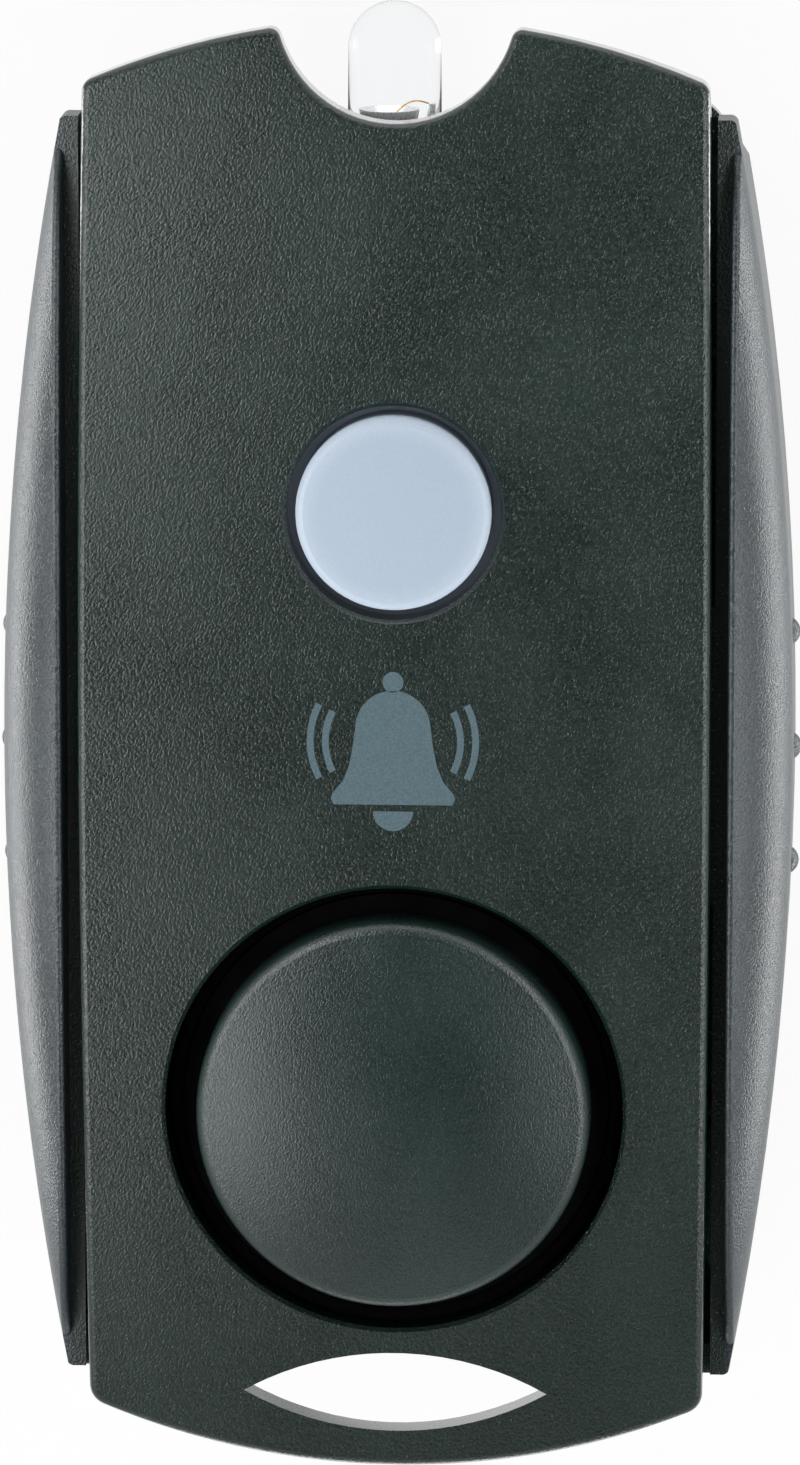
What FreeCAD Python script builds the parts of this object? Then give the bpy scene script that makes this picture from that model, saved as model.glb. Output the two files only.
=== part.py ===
import FreeCAD, Part
import math
import os
from types import SimpleNamespace

import Sketcher
from FreeCAD import Vector

# Pocket panic alarm, in millimetres.
# It lies on its back: +Z out of the front face, +Y towards the lamp, +X to the right seen from the front.
# The origin is on the back face, on the mid-plane, level with the middle nub of the squeeze keys.

SIZES = {
    # Front cover
    "plate": 1.8,
    "component_room": 4.0,
    "face_radius": 304.0,
    "cover_end_width": 32.52,
    "cover_bow": 0.27,
    "cover_top": 38.9,
    "cover_bottom": 38.3,
    "top_end_radius": 41.2,
    "bottom_end_radius": 39.2,
    "top_corner_round": 0.8,
    "bottom_corner_round": 1.2,
    "face_edge_round": 0.4,
    "cover_wall": 1.2,
    "hole_edge": 0.2,
    # Lamp notch and loop slot
    "notch_radius": 6.25,
    "notch_place": 39.75,
    "horn_round": 0.6,
    "slot_width": 16.05,
    "slot_corner": 34.1,
    "slot_top": 31.9,
    "slot_top_radius": 15.75,
    "slot_bottom_radius": 15.8,
    # Rear case
    "case_top": 33.6,
    "case_bottom": 34.2,
    "case_floor": 1.6,
    "end_wall": 1.4,
    "side_wall": 1.3,
    "floor_inset": 0.2,
    "floor_corner_round": 3.2,
    "floor_edge_round": 0.6,
    "wall_corner_round": 3.0,
    "parting_gap": 0.15,
    "dip_gap": 0.3,
    "recess_margin": 0.4,
    "lamp_wall": 2.8,
    "recess_draft": 8.0,
    "post_radius": 2.3,
    "post_gap": 0.4,
    # Wings of the case under the ends of the keys
    "wing_width": 1.0,
    "wing_thick": 1.2,
    "wing_inset": 0.15,
    "bottom_wing_reach": 0.25,
    "wing_gap": 0.15,
    "wing_lean": 2.2,
    # Squeeze keys
    "key_bulge": 4.25,
    "key_bow_radius": 178.0,
    "key_crown_radius": 4.4,
    "key_crown_drop": 4.7,
    "key_foot_gap": 0.2,
    "key_foot_round": 3.0,
    "key_slide_gap": 0.1,
    "key_stop_gap": 0.13,
    "key_travel": 0.6,
    "groove_width": 0.87,
    "ridge_round": 0.25,
    "key_end_round": 0.45,
    "key_top": 33.57,
    "key_bottom": 33.45,
    "top_lap": 2.4,
    "bottom_lap": 1.2,
    "key_lap_gap": 0.1,
    "tongue_thick": 1.2,
    "tongue_length": 16.0,
    "hook_thick": 1.1,
    "hook_depth": 1.0,
    "hook_gap": 0.1,
    "core_length": 32.0,
    "core_low": 4.0,
    "core_high": 10.5,
    "core_depth": 2.5,
    "nub_pitch": 6.14,
    "nub_radius": 0.8,
    "nub_height": 0.4,
    "nub_level": 9.6,
    # Guide pins and return springs of the keys
    "guide_place": 20.0,
    "guide_level": 7.0,
    "guide_pin_radius": 1.0,
    "guide_gap": 0.05,
    "guide_reach": 1.7,
    "spring_pocket_radius": 2.3,
    "spring_pocket_skin": 1.25,
    "spring_wire": 0.3,
    "spring_radius": 1.5,
    "spring_turns": 2.5,
    "spring_seat_gap": 0.02,
    # Torch button and its switch
    "button_place": 13.4,
    "button_diameter": 10.2,
    "button_gap": 0.5,
    "button_proud": 0.3,
    "button_crown": 0.2,
    "button_round": 0.45,
    "button_flange": 12.4,
    "button_flange_thick": 1.0,
    "button_rest_gap": 0.2,
    "button_travel": 0.6,
    "button_pin_radius": 1.0,
    "button_pin": 0.35,
    "switch_width": 6.0,
    "switch_height": 1.4,
    "switch_base": 0.15,
    "stem_radius": 1.2,
    "stem_gap": 0.05,
    # Siren
    "siren_place": 18.5,
    "siren_opening": 24.1,
    "collar_wall": 1.0,
    "cap_diameter": 20.7,
    "cap_proud": 1.2,
    "cap_crown": 1.3,
    "cap_round": 0.7,
    "cap_depth": 2.6,
    "cap_thick": 1.2,
    "cap_leg_outer": 9.5,
    "cap_leg_inner": 8.0,
    "cap_leg_width": 2.4,
    "housing_radius": 11.2,
    "housing_wall": 0.9,
    "housing_drop": 0.5,
    "housing_plate": 1.0,
    "sound_hole_radius": 3.0,
    "stand_height": 5.0,
    "disc_recess": 4.0,
    "foam_gap": 0.05,
    "disc_thick": 0.3,
    "disc_gap": 0.1,
    "disc_ledge": 0.9,
    "ceramic_radius": 7.0,
    "ceramic_thick": 0.25,
    "lead_diameter": 0.8,
    "lead_drop": 2.2,
    "lead_bend": 1.2,
    "lead_spacing": 3.0,
    "lead_notch_gap": 0.4,
    "lead_landing": 1.2,
    # Circuit board and what stands on it
    "board_thick": 1.0,
    "board_side_gap": 0.2,
    "board_top_gap": 3.0,
    "board_siren_gap": 1.3,
    "board_post_gap": 0.6,
    "side_switch_inset": 0.25,
    "side_switch_length": 3.6,
    "side_switch_width": 4.6,
    "side_switch_skin": 0.38,
    "side_stem_width": 1.6,
    "side_stem_height": 0.7,
    "side_stem_hold": 0.8,
    "chip_length": 5.0,
    "chip_width": 4.0,
    "chip_height": 1.5,
    "chip_gap": 0.6,
    "part_column": 6.6,
    "transistor_length": 4.5,
    "transistor_width": 2.5,
    "coil_radius": 3.0,
    "coil_waist": 2.3,
    "coil_flange": 0.6,
    "coil_height": 2.5,
    "coil_place": 22.4,
    "capacitor_radius": 2.5,
    "capacitor_height": 2.5,
    "resistor_length": 2.0,
    "resistor_width": 1.25,
    "resistor_height": 0.5,
    "resistor_pitch": 2.2,
    "resistor_place": 26.6,
    # Lamp
    "lamp_offset": 0.3,
    "lamp_tip": 39.35,
    "lamp_length": 8.6,
    "lamp_radius": 2.42,
    "lamp_root_radius": 2.47,
    "lamp_flange_radius": 2.9,
    "lamp_flange": 1.0,
    "lamp_gap": 0.08,
    "leg_thick": 0.5,
    "leg_spacing": 2.54,
    "leg_length": 4.0,
    "anvil_drop": 5.3,
    "anvil_height": 1.7,
    "anvil_width": 2.1,
    "anvil_gap": 0.3,
    "wire_post_drop": 5.6,
    # Battery bay, cells, contacts and door
    "cell_radius": 10.0,
    "cell_height": 3.2,
    "cell_cap_radius": 8.8,
    "cell_cap_height": 0.3,
    "cell_edge_round": 0.4,
    "cell_gap": 0.3,
    "cell_stack_gap": 0.05,
    "leaf_room": 0.6,
    "bay_wall": 2.6,
    "door_radius": 12.2,
    "door_gap": 0.15,
    "door_lift_gap": 0.05,
    "door_thick": 1.2,
    "door_sunk": 0.1,
    "ledge_thick": 0.95,
    "door_collar_radius": 10.25,
    "door_collar_wall": 1.25,
    "door_collar_height": 1.9,
    "door_plug": 0.8,
    "lug_reach": 1.25,
    "lug_width": 3.6,
    "lug_thick": 0.7,
    "lug_gap": 0.15,
    "lug_side_gap": 0.4,
    "coin_slot_length": 11.0,
    "coin_slot_width": 1.8,
    "coin_slot_depth": 1.0,
    "door_chamfer": 0.25,
    "strip_thick": 0.2,
    "strip_width": 3.0,
    "strip_back": 1.0,
    "strip_tab": 0.8,
    "strip_nose": 1.2,
    "strip_side_gap": 0.15,
    "leaf_thick": 0.2,
    "leaf_width": 4.0,
    "leaf_root": 3.0,
    "leaf_slope": 4.5,
    "leaf_nose": 1.5,
    # Case screws
    "screw_radius": 1.0,
    "screw_gap": 0.08,
    "screw_head_gap": 0.16,
    "screw_head_radius": 1.8,
    "screw_head_height": 1.2,
    "screw_sunk": 0.3,
    "screw_bite": 1.7,
    "screw_tip_gap": 0.3,
    "recess_arm": 2.2,
    "recess_slot": 0.6,
    "recess_depth": 0.7,
}

# Past everything, past the surface that bounds a blank or a cut, and into the material that a feature joins
FAR = 60
PAST = 1
JOIN = 0.5

# How close an edge lies to where it is looked for, by its middle, by its size and by its level
NEAR = 0.5
ALIKE = 0.05
LEVEL = 0.01

# Degrees that the key's blank is turned through about its bow's centre
KEY_SWEEP = 30

doc = FreeCAD.newDocument("PanicAlarm")
sheet = doc.addObject("Spreadsheet::Sheet", "Sizes")
for row, (alias, number) in enumerate(SIZES.items(), 1):
    sheet.set(f"A{row}", alias)
    sheet.set(f"B{row}", str(number))
    sheet.setAlias(f"B{row}", alias)
doc.recompute()


class Size:
    """A length that knows its number and the sheet expression that it comes from."""

    def __init__(self, text, number):
        self.text = text
        self.number = number

    def __add__(self, other):
        other = size(other)
        return Size(f"({self.text} + {other.text})", self.number + other.number)

    def __sub__(self, other):
        other = size(other)
        return Size(f"({self.text} - {other.text})", self.number - other.number)

    def __mul__(self, other):
        other = size(other)
        return Size(f"({self.text} * {other.text})", self.number * other.number)

    def __truediv__(self, other):
        other = size(other)
        return Size(f"({self.text} / {other.text})", self.number / other.number)

    def __neg__(self):
        return 0 - self

    def __radd__(self, other):
        return size(other) + self

    def __rsub__(self, other):
        return size(other) - self

    def __rmul__(self, other):
        return size(other) * self


def size(value):
    """A plain number or a Size, as a Size."""
    if isinstance(value, Size):
        return value
    return Size(repr(float(value)), float(value))


def root(value):
    return Size(f"sqrt({value.text})", math.sqrt(value.number))


def bind(item, name, value):
    """Ties a property to its sheet expression."""
    item.setExpression(name, size(value).text)


def arc_drop(radius, across):
    """How far an arc of this radius falls from its crown at this distance across."""
    return radius - root(radius * radius - across * across)


def arc_radius(half, rise):
    """The radius of an arc that rises this much over this half length."""
    return (half * half + rise * rise) / (2 * rise)


mm = SimpleNamespace(**{alias: Size(f"Sizes.{alias}", float(sheet.get(alias))) for alias in SIZES})

# Levels, from the back face up
ledge_low = mm.door_thick + mm.door_lift_gap
ledge_top = ledge_low + mm.ledge_thick
door_top = mm.door_thick + mm.door_collar_height
bay_floor = door_top + mm.lug_gap
lower_cell = door_top + mm.cell_stack_gap
upper_cell = lower_cell + mm.cell_height + mm.cell_stack_gap
cells_top = upper_cell + mm.cell_height
board_level = cells_top + mm.leaf_room
board_top_level = board_level + mm.board_thick
face = board_top_level + mm.component_room + mm.plate
face_centre = face - mm.face_radius
back_radius = mm.face_radius - mm.plate
cover_foot = face - arc_drop(mm.face_radius, mm.case_bottom) - mm.plate - mm.parting_gap
tongue_top = cover_foot - mm.parting_gap
tongue_foot = tongue_top - mm.tongue_thick
dip_level = tongue_foot - mm.parting_gap
boss_level = dip_level + mm.parting_gap
crown_level = face - mm.key_crown_drop
wing_foot = mm.case_floor / 2
key_foot = mm.case_floor + mm.key_foot_gap

# Widths, from the cover outwards and inwards
cover_end = mm.cover_end_width / 2
cover_middle = cover_end + mm.cover_bow
key_inner = cover_middle + mm.key_slide_gap
ridge = cover_middle + mm.groove_width
key_outer = cover_middle + mm.key_bulge
key_axis = key_outer - mm.key_bow_radius
floor_half = ridge - mm.floor_inset
wall_half = key_inner - mm.key_travel - mm.key_stop_gap
cavity_half = wall_half - mm.side_wall
tongue_inner = cavity_half - mm.hook_gap - mm.hook_thick
board_half = tongue_inner - mm.key_travel - mm.board_side_gap

# Places along the length
top_corner = mm.cover_top - arc_drop(mm.top_end_radius, cover_end)
bottom_corner = mm.cover_bottom - arc_drop(mm.bottom_end_radius, cover_end)
side_bow_radius = arc_radius((top_corner + bottom_corner) / 2, mm.cover_bow)
inside_top = mm.case_top - mm.end_wall
inside_bottom = mm.case_bottom - mm.end_wall
arch_place = mm.slot_top + mm.slot_top_radius
screw_x = cavity_half - mm.post_radius - mm.post_gap
screw_top = inside_top - mm.post_radius - mm.post_gap
screw_bottom = inside_bottom - mm.post_radius - mm.post_gap
board_top_end = inside_top - mm.board_top_gap
board_bottom_end = mm.siren_place - mm.housing_radius - mm.board_siren_gap
bay_radius = mm.cell_radius + mm.cell_gap
bay_outer = bay_radius + mm.bay_wall
slot_low = mm.slot_corner + arc_drop(mm.slot_bottom_radius, mm.slot_width / 2)
strip_middle = (slot_low + mm.cover_bottom) / 2

# The notch's horns, where its circle meets the bow of the cover's end
top_bow_centre = mm.cover_top - mm.top_end_radius
notch_rise = mm.notch_place - top_bow_centre
horn_rise = (mm.top_end_radius * mm.top_end_radius - mm.notch_radius * mm.notch_radius
             + notch_rise * notch_rise) / (2 * notch_rise)
horn_x = root(mm.top_end_radius * mm.top_end_radius - horn_rise * horn_rise)
horn_y = top_bow_centre + horn_rise


def face_level(place):
    """Height of the bowed front face at this distance along its length."""
    return face - arc_drop(mm.face_radius, place)


def under_plate_level(place):
    return face_centre + root(back_radius * back_radius - place * place)


def key_side(place):
    """Where the key's bowed outside lies at this distance along its length."""
    return key_axis + root(mm.key_bow_radius * mm.key_bow_radius - place * place)


# Levels of the siren, the button and the lamp
siren_face = face_level(mm.siren_place)
cap_edge = siren_face + mm.cap_proud
housing_top = siren_face - mm.plate - mm.housing_drop
collar_foot = cover_foot
disc_seat = mm.stand_height + mm.disc_recess
disc_level = disc_seat - mm.disc_thick
ceramic_level = disc_level - mm.ceramic_thick
opening_radius = mm.siren_opening / 2
button_radius = mm.button_diameter / 2
button_hole = button_radius + mm.button_gap
button_rim = face_level(mm.button_place) + mm.button_proud
flange_radius = mm.button_flange / 2
flange_top = under_plate_level(mm.button_place + flange_radius) - mm.button_rest_gap
flange_low = flange_top - mm.button_flange_thick
stem_top = flange_low - mm.button_pin
switch_bore = board_top_level + mm.switch_base
side_stem_level = tongue_foot + (mm.tongue_thick - mm.side_stem_height) / 2
side_switch_face = board_half - mm.side_switch_inset
chip_place = (mm.side_switch_width + mm.chip_width) / 2 + mm.chip_gap
lamp_level = board_level - mm.leg_thick / 2
lamp_root = mm.lamp_tip - mm.lamp_length


def new_body(label):
    body = doc.addObject("PartDesign::Body", label)
    body.Label = label
    return body


class Drawing:
    """A sketch on one of its body's origin planes, with every point and radius tied to the sheet."""

    def __init__(self, body, name, plane="XY_Plane", at=(0, 0, 0)):
        self.sketch = body.newObject("Sketcher::SketchObject", name)
        origin = next(part for part in body.Origin.OriginFeatures if part.Role == plane)
        self.sketch.AttachmentSupport = [(origin, "")]
        self.sketch.MapMode = "FlatFace"
        for axis, value in zip("xyz", at):
            bind(self.sketch, f"AttachmentOffset.Base.{axis}", value)

    def hold(self, kind, *where, value):
        index = self.sketch.addConstraint(Sketcher.Constraint(kind, *where, value.number))
        self.sketch.setExpression(f"Constraints[{index}]", value.text)

    def pin(self, curve, end, x, y):
        self.hold("DistanceX", -1, 1, curve, end, value=x)
        self.hold("DistanceY", -1, 1, curve, end, value=y)

    def circle(self, x, y, radius):
        x, y, radius = size(x), size(y), size(radius)
        centre = Vector(x.number, y.number, 0)
        curve = self.sketch.addGeometry(Part.Circle(centre, Vector(0, 0, 1), radius.number))
        self.pin(curve, 3, x, y)
        self.hold("Radius", curve, value=radius)
        return self

    def path(self, *points, closed=True):
        """An outline. Each point is (x, y) for a line from it, or (x, y, radius) for an arc from it.

        A positive radius bulges the arc to the right of its way, a negative one to the left.
        """
        spots = [tuple(size(part) for part in point) for point in points]
        after = spots[1:] + spots[:1] if closed else spots[1:]
        ends = [self.stroke(here, there) for here, there in zip(spots, after)]
        joints = zip(ends, ends[1:] + ends[:1]) if closed else zip(ends, ends[1:])
        for (curve, _, stop), (following, start, _) in joints:
            self.sketch.addConstraint(Sketcher.Constraint("Coincident", curve, stop, following, start))
        for (curve, start, _), spot in zip(ends, spots):
            self.pin(curve, start, spot[0], spot[1])
        if not closed:
            self.pin(ends[-1][0], ends[-1][2], spots[-1][0], spots[-1][1])
        return self

    def stroke(self, here, there):
        """One line or arc of an outline, and the numbers of its start and end points."""
        start = Vector(here[0].number, here[1].number, 0)
        stop = Vector(there[0].number, there[1].number, 0)
        if len(here) == 2:
            return self.sketch.addGeometry(Part.LineSegment(start, stop)), 1, 2
        bulge = here[2].number
        chord = stop - start
        right = Vector(chord.y, -chord.x, 0).normalize()
        reach = math.sqrt(max(bulge * bulge - (chord.Length / 2) ** 2, 0.0))
        centre = (start + stop) / 2 - right * math.copysign(reach, bulge)
        spans = (start, stop) if bulge > 0 else (stop, start)
        angles = [math.atan2(spot.y - centre.y, spot.x - centre.x) for spot in spans]
        circle = Part.Circle(centre, Vector(0, 0, 1), abs(bulge))
        curve = self.sketch.addGeometry(Part.ArcOfCircle(circle, *angles))
        self.hold("Radius", curve, value=here[2] if bulge > 0 else -here[2])
        return (curve, 1, 2) if bulge > 0 else (curve, 2, 1)

    def box(self, left, low, right, high):
        return self.path((left, low), (right, low), (right, high), (left, high))


def pad(body, name, depth, drawing):
    """Material from the sketch along its plane's normal."""
    item = body.newObject("PartDesign::Pad", name)
    item.Profile = drawing.sketch
    bind(item, "Length", depth)
    doc.recompute()
    return item


def cut(body, name, depth, drawing):
    """A pocket from the sketch along its plane's normal, which has to take something away."""
    before = body.Shape.Volume
    item = body.newObject("PartDesign::Pocket", name)
    item.Profile = drawing.sketch
    item.Reversed = True
    bind(item, "Length", depth)
    doc.recompute()
    if not body.Shape.Volume < before:
        raise RuntimeError(f"{body.Label}: {name} cuts nothing")
    return item


def turn(body, name, x, y, *points, kind="Revolution"):
    """A solid or groove turned about the upright axis through x, y. Points are (radius, height)."""
    drawing = Drawing(body, name + "_section", "XZ_Plane", (x, 0, -y))
    drawing.path(*points)
    item = body.newObject(f"PartDesign::{kind}", name)
    item.Profile = drawing.sketch
    item.ReferenceAxis = (drawing.sketch, ["V_Axis"])
    item.Angle = 360
    doc.recompute()
    return item


def around(body, name, feature, drawing, count=3):
    """Repeats a feature evenly about its sketch's normal."""
    item = body.newObject("PartDesign::PolarPattern", name)
    item.Originals = [feature]
    item.Axis = (drawing.sketch, ["N_Axis"])
    item.Angle = 360
    item.Occurrences = count
    body.Tip = item
    doc.recompute()
    return item


def dress(body, kind, name, amount, pick):
    """A Fillet or Chamfer of the edges that pick chooses."""
    last = body.Tip
    edges = [f"Edge{i}" for i, edge in enumerate(last.Shape.Edges, 1) if pick(edge)]
    if not edges:
        raise RuntimeError(f"{body.Label}: {name} finds no edge")
    item = body.newObject(f"PartDesign::{kind}", name)
    item.Base = (last, edges)
    bind(item, "Radius" if kind == "Fillet" else "Size", amount)
    doc.recompute()
    return item


def is_upright(edge):
    box = edge.BoundBox
    return box.ZLength > NEAR and max(box.XLength, box.YLength) < ALIKE


def is_near(edge, x, y):
    """Whether an edge's middle lies at x, y or at its mirror place on the left."""
    middle = edge.CenterOfMass
    return math.hypot(abs(middle.x) - size(x).number, middle.y - size(y).number) < NEAR


def is_ring(edge, x, y, radius):
    """Whether an edge runs round the upright axis through x, y at this radius."""
    box = edge.BoundBox
    middle = edge.CenterOfMass
    centred = math.hypot(middle.x - size(x).number, middle.y - size(y).number) < NEAR
    return centred and abs(box.XLength - 2 * size(radius).number) < ALIKE


def screw_places():
    for side in (-1, 1):
        yield side * screw_x, screw_top
        yield side * screw_x, -screw_bottom


def above_face(body, name):
    """Takes away what stands above the bowed front face."""
    edge = face_level(size(FAR))
    drawing = Drawing(body, name + "_line", "YZ_Plane", (0, 0, -FAR))
    drawing.path((FAR, edge, mm.face_radius), (-FAR, edge), (-FAR, face + FAR), (FAR, face + FAR))
    return cut(body, name, 2 * FAR, drawing)


def under_plate(body, name, first, last, half):
    """Hollows the cover up to the plate, between two places along its length and within a half width."""
    first, last = size(first), size(last)
    drawing = Drawing(body, name + "_line", "YZ_Plane", (0, 0, -half))
    drawing.path(
        (last, under_plate_level(last), back_radius),
        (first, under_plate_level(first)),
        (first, cover_foot - PAST),
        (last, cover_foot - PAST),
    )
    return cut(body, name, 2 * half, drawing)


def make_front_cover():
    body = new_body("front_cover")
    outline = Drawing(body, "outline", at=(0, 0, cover_foot))
    outline.path(
        (-cover_end, -bottom_corner, mm.bottom_end_radius),
        (cover_end, -bottom_corner, side_bow_radius),
        (cover_end, top_corner, mm.top_end_radius),
        (-cover_end, top_corner, side_bow_radius),
    )
    pad(body, "blank", face - cover_foot + PAST, outline)
    dress(body, "Fillet", "top_corners", mm.top_corner_round,
          lambda edge: is_upright(edge) and is_near(edge, cover_end, top_corner))
    dress(body, "Fillet", "bottom_corners", mm.bottom_corner_round,
          lambda edge: is_upright(edge) and is_near(edge, cover_end, -bottom_corner))
    under_plate(body, "inside", -FAR, FAR, cover_end - mm.cover_wall)
    under_plate(body, "top_overhang", mm.case_top, FAR, size(FAR))
    under_plate(body, "bottom_overhang", -FAR, -mm.case_bottom, size(FAR))
    collar = Drawing(body, "collar_ring", at=(0, 0, collar_foot))
    collar.circle(0, -mm.siren_place, opening_radius + mm.collar_wall)
    pad(body, "collar", face - collar_foot + PAST, collar)
    bosses = Drawing(body, "boss_rings", at=(0, 0, boss_level))
    for x, y in screw_places():
        bosses.circle(x, y, mm.post_radius)
    pad(body, "bosses", face - boss_level, bosses)
    above_face(body, "bowed_face")
    openings = Drawing(body, "opening_rings")
    openings.circle(0, -mm.siren_place, opening_radius)
    openings.circle(0, mm.button_place, button_hole)
    cut(body, "openings", face + PAST, openings)
    notch = Drawing(body, "notch_ring")
    notch.circle(0, mm.notch_place, mm.notch_radius)
    cut(body, "notch", face + PAST, notch)
    slot = Drawing(body, "slot_lens")
    slot.path(
        (-mm.slot_width / 2, -mm.slot_corner, mm.slot_bottom_radius),
        (mm.slot_width / 2, -mm.slot_corner, mm.slot_top_radius),
    )
    cut(body, "loop_slot", face + PAST, slot)
    pilots = Drawing(body, "pilot_rings")
    for x, y in screw_places():
        pilots.circle(x, y, mm.screw_radius + mm.screw_gap)
    cut(body, "pilots", dip_level + mm.screw_bite + mm.screw_tip_gap, pilots)
    dress(body, "Fillet", "horns", mm.horn_round,
          lambda edge: is_upright(edge) and is_near(edge, horn_x, horn_y))
    dress(body, "Fillet", "face_edge", mm.face_edge_round, is_outer_face_edge)
    dress(body, "Chamfer", "hole_edges", mm.hole_edge, is_hole_edge)
    return body


def is_on_face(edge):
    """Whether both ends and the middle of an edge lie on the bowed front face."""
    first, last = edge.ParameterRange
    spots = [edge.valueAt(first + (last - first) * share) for share in (0.0, 0.5, 1.0)]
    return all(abs(spot.z - face_level(size(spot.y)).number) < LEVEL for spot in spots)


def is_hole_edge(edge):
    siren = is_ring(edge, 0, -mm.siren_place, opening_radius)
    button = is_ring(edge, 0, mm.button_place, button_hole)
    return is_on_face(edge) and (siren or button)


def is_outer_face_edge(edge):
    first, last = edge.ParameterRange
    middle = edge.valueAt((first + last) / 2)
    beside = abs(middle.x) > (cover_end - mm.cover_wall / 2).number
    beyond = middle.y > screw_top.number or middle.y < -mm.slot_corner.number
    slot = abs(middle.x) < mm.slot_width.number / 2 and -strip_middle.number < middle.y < 0
    return is_on_face(edge) and (beside or beyond) and not slot


def round_cut(body, name, x, y, radius, low, depth):
    """A round pocket about an upright axis, from a level upwards."""
    ring = Drawing(body, name + "_ring", at=(0, 0, low))
    ring.circle(x, y, radius)
    return cut(body, name, depth, ring)


def make_rear_case():
    body = new_body("rear_case")
    base = Drawing(body, "floor_outline")
    base.box(-floor_half, -mm.case_bottom, floor_half, mm.case_top)
    pad(body, "floor", mm.case_floor, base)
    dress(body, "Fillet", "floor_corners", mm.floor_corner_round, is_upright)
    dress(body, "Fillet", "floor_edge", mm.floor_edge_round, lambda edge: edge.BoundBox.ZMax < LEVEL)
    walls = Drawing(body, "wall_outline", at=(0, 0, mm.case_floor))
    bend = mm.wall_corner_round
    walls.path(
        (bend - wall_half, -mm.case_bottom),
        (wall_half - bend, -mm.case_bottom, bend),
        (wall_half, bend - mm.case_bottom),
        (wall_half, mm.case_top - bend, bend),
        (wall_half - bend, mm.case_top),
        (bend - wall_half, mm.case_top, bend),
        (-wall_half, mm.case_top - bend),
        (-wall_half, bend - mm.case_bottom, bend),
    )
    pad(body, "walls", tongue_top - mm.case_floor, walls)
    add_wings(body)
    hollow_case(body)
    dips = Drawing(body, "dip_outline", at=(0, 0, dip_level))
    dip_half = mm.tongue_length / 2 + mm.dip_gap
    dips.box(-FAR, -dip_half, FAR, dip_half)
    cut(body, "wall_dips", FAR, dips)
    under = mm.case_floor / 2
    posts = Drawing(body, "post_rings", at=(0, 0, under))
    for x, y in screw_places():
        posts.circle(x, y, mm.post_radius)
    pad(body, "posts", dip_level - under, posts)
    bay = Drawing(body, "bay_ring", at=(0, 0, under))
    bay.circle(0, mm.button_place, bay_outer)
    pad(body, "battery_bay", board_level - under, bay)
    stand = Drawing(body, "stand_ring", at=(0, 0, under))
    stand.circle(0, -mm.siren_place, mm.housing_radius)
    stand.circle(0, -mm.siren_place, mm.housing_radius - mm.housing_wall)
    pad(body, "siren_stand", mm.stand_height - under, stand)
    cut_battery_bay(body)
    for x, y in screw_places():
        side = "right" if x.number > 0 else "left"
        end = "top" if y.number > 0 else "bottom"
        round_cut(body, f"screw_hole_{end}_{side}", x, y, mm.screw_radius + mm.screw_gap, 0, FAR)
        round_cut(body, f"screw_sink_{end}_{side}", x, y, mm.screw_head_radius + mm.screw_head_gap,
                  0, mm.screw_sunk + mm.screw_head_height)
    cut_case_ends(body)
    for side, start in (("left", size(-FAR)), ("right", cavity_half - JOIN)):
        guides = Drawing(body, f"{side}_guide_rings", "YZ_Plane", (0, 0, start))
        for way in (-1, 1):
            guides.circle(way * mm.guide_place, mm.guide_level, mm.guide_pin_radius + mm.guide_gap)
        cut(body, f"{side}_guides", FAR - cavity_half + JOIN, guides)
    return body


def key_ends():
    """The name, place and way of each end of the squeeze keys, its lap's underside and its wing's end."""
    return (
        ("top", mm.key_top, 1, tongue_top - mm.top_lap, mm.key_top - mm.wing_inset),
        ("bottom", mm.key_bottom, -1, tongue_top - mm.bottom_lap, mm.key_bottom + mm.bottom_wing_reach),
    )


def add_wings(body):
    """Leaning posts at the case's corners that close the view past the ends of the keys."""
    inner = cavity_half + mm.side_wall / 2
    for side, start in (("left", -(wall_half + mm.wing_width)), ("right", inner)):
        for end, place, way, lap_level, outside in key_ends():
            wing_level = lap_level - mm.key_lap_gap
            inside = place - mm.wing_inset - mm.wing_thick
            wing = Drawing(body, f"{end}_{side}_wing_outline", "YZ_Plane", (0, 0, start))
            wing.path(
                (way * inside, wing_level),
                (way * outside, wing_level),
                (way * (outside - mm.wing_lean), wing_foot),
                (way * (inside - mm.wing_lean), wing_foot),
            )
            pad(body, f"{end}_{side}_wing", wall_half + mm.wing_width - inner, wing)


def hollow_case(body):
    """The inside of the case, with its end walls carried round the lamp recess and the loop slot."""
    lamp_bend = mm.notch_radius + mm.recess_margin + mm.lamp_wall
    slot_bend = mm.slot_top_radius + mm.end_wall
    lamp_rise = mm.notch_place - inside_top
    slot_rise = arch_place - inside_bottom
    lamp_side = root(lamp_bend * lamp_bend - lamp_rise * lamp_rise)
    slot_side = root(slot_bend * slot_bend - slot_rise * slot_rise)
    hollow = Drawing(body, "hollow_outline", at=(0, 0, mm.case_floor))
    hollow.path(
        (-cavity_half, -inside_bottom),
        (-slot_side, -inside_bottom, -slot_bend),
        (slot_side, -inside_bottom),
        (cavity_half, -inside_bottom),
        (cavity_half, inside_top),
        (lamp_side, inside_top, -lamp_bend),
        (-lamp_side, inside_top),
        (-cavity_half, inside_top),
    )
    cut(body, "hollow", FAR, hollow)


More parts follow.
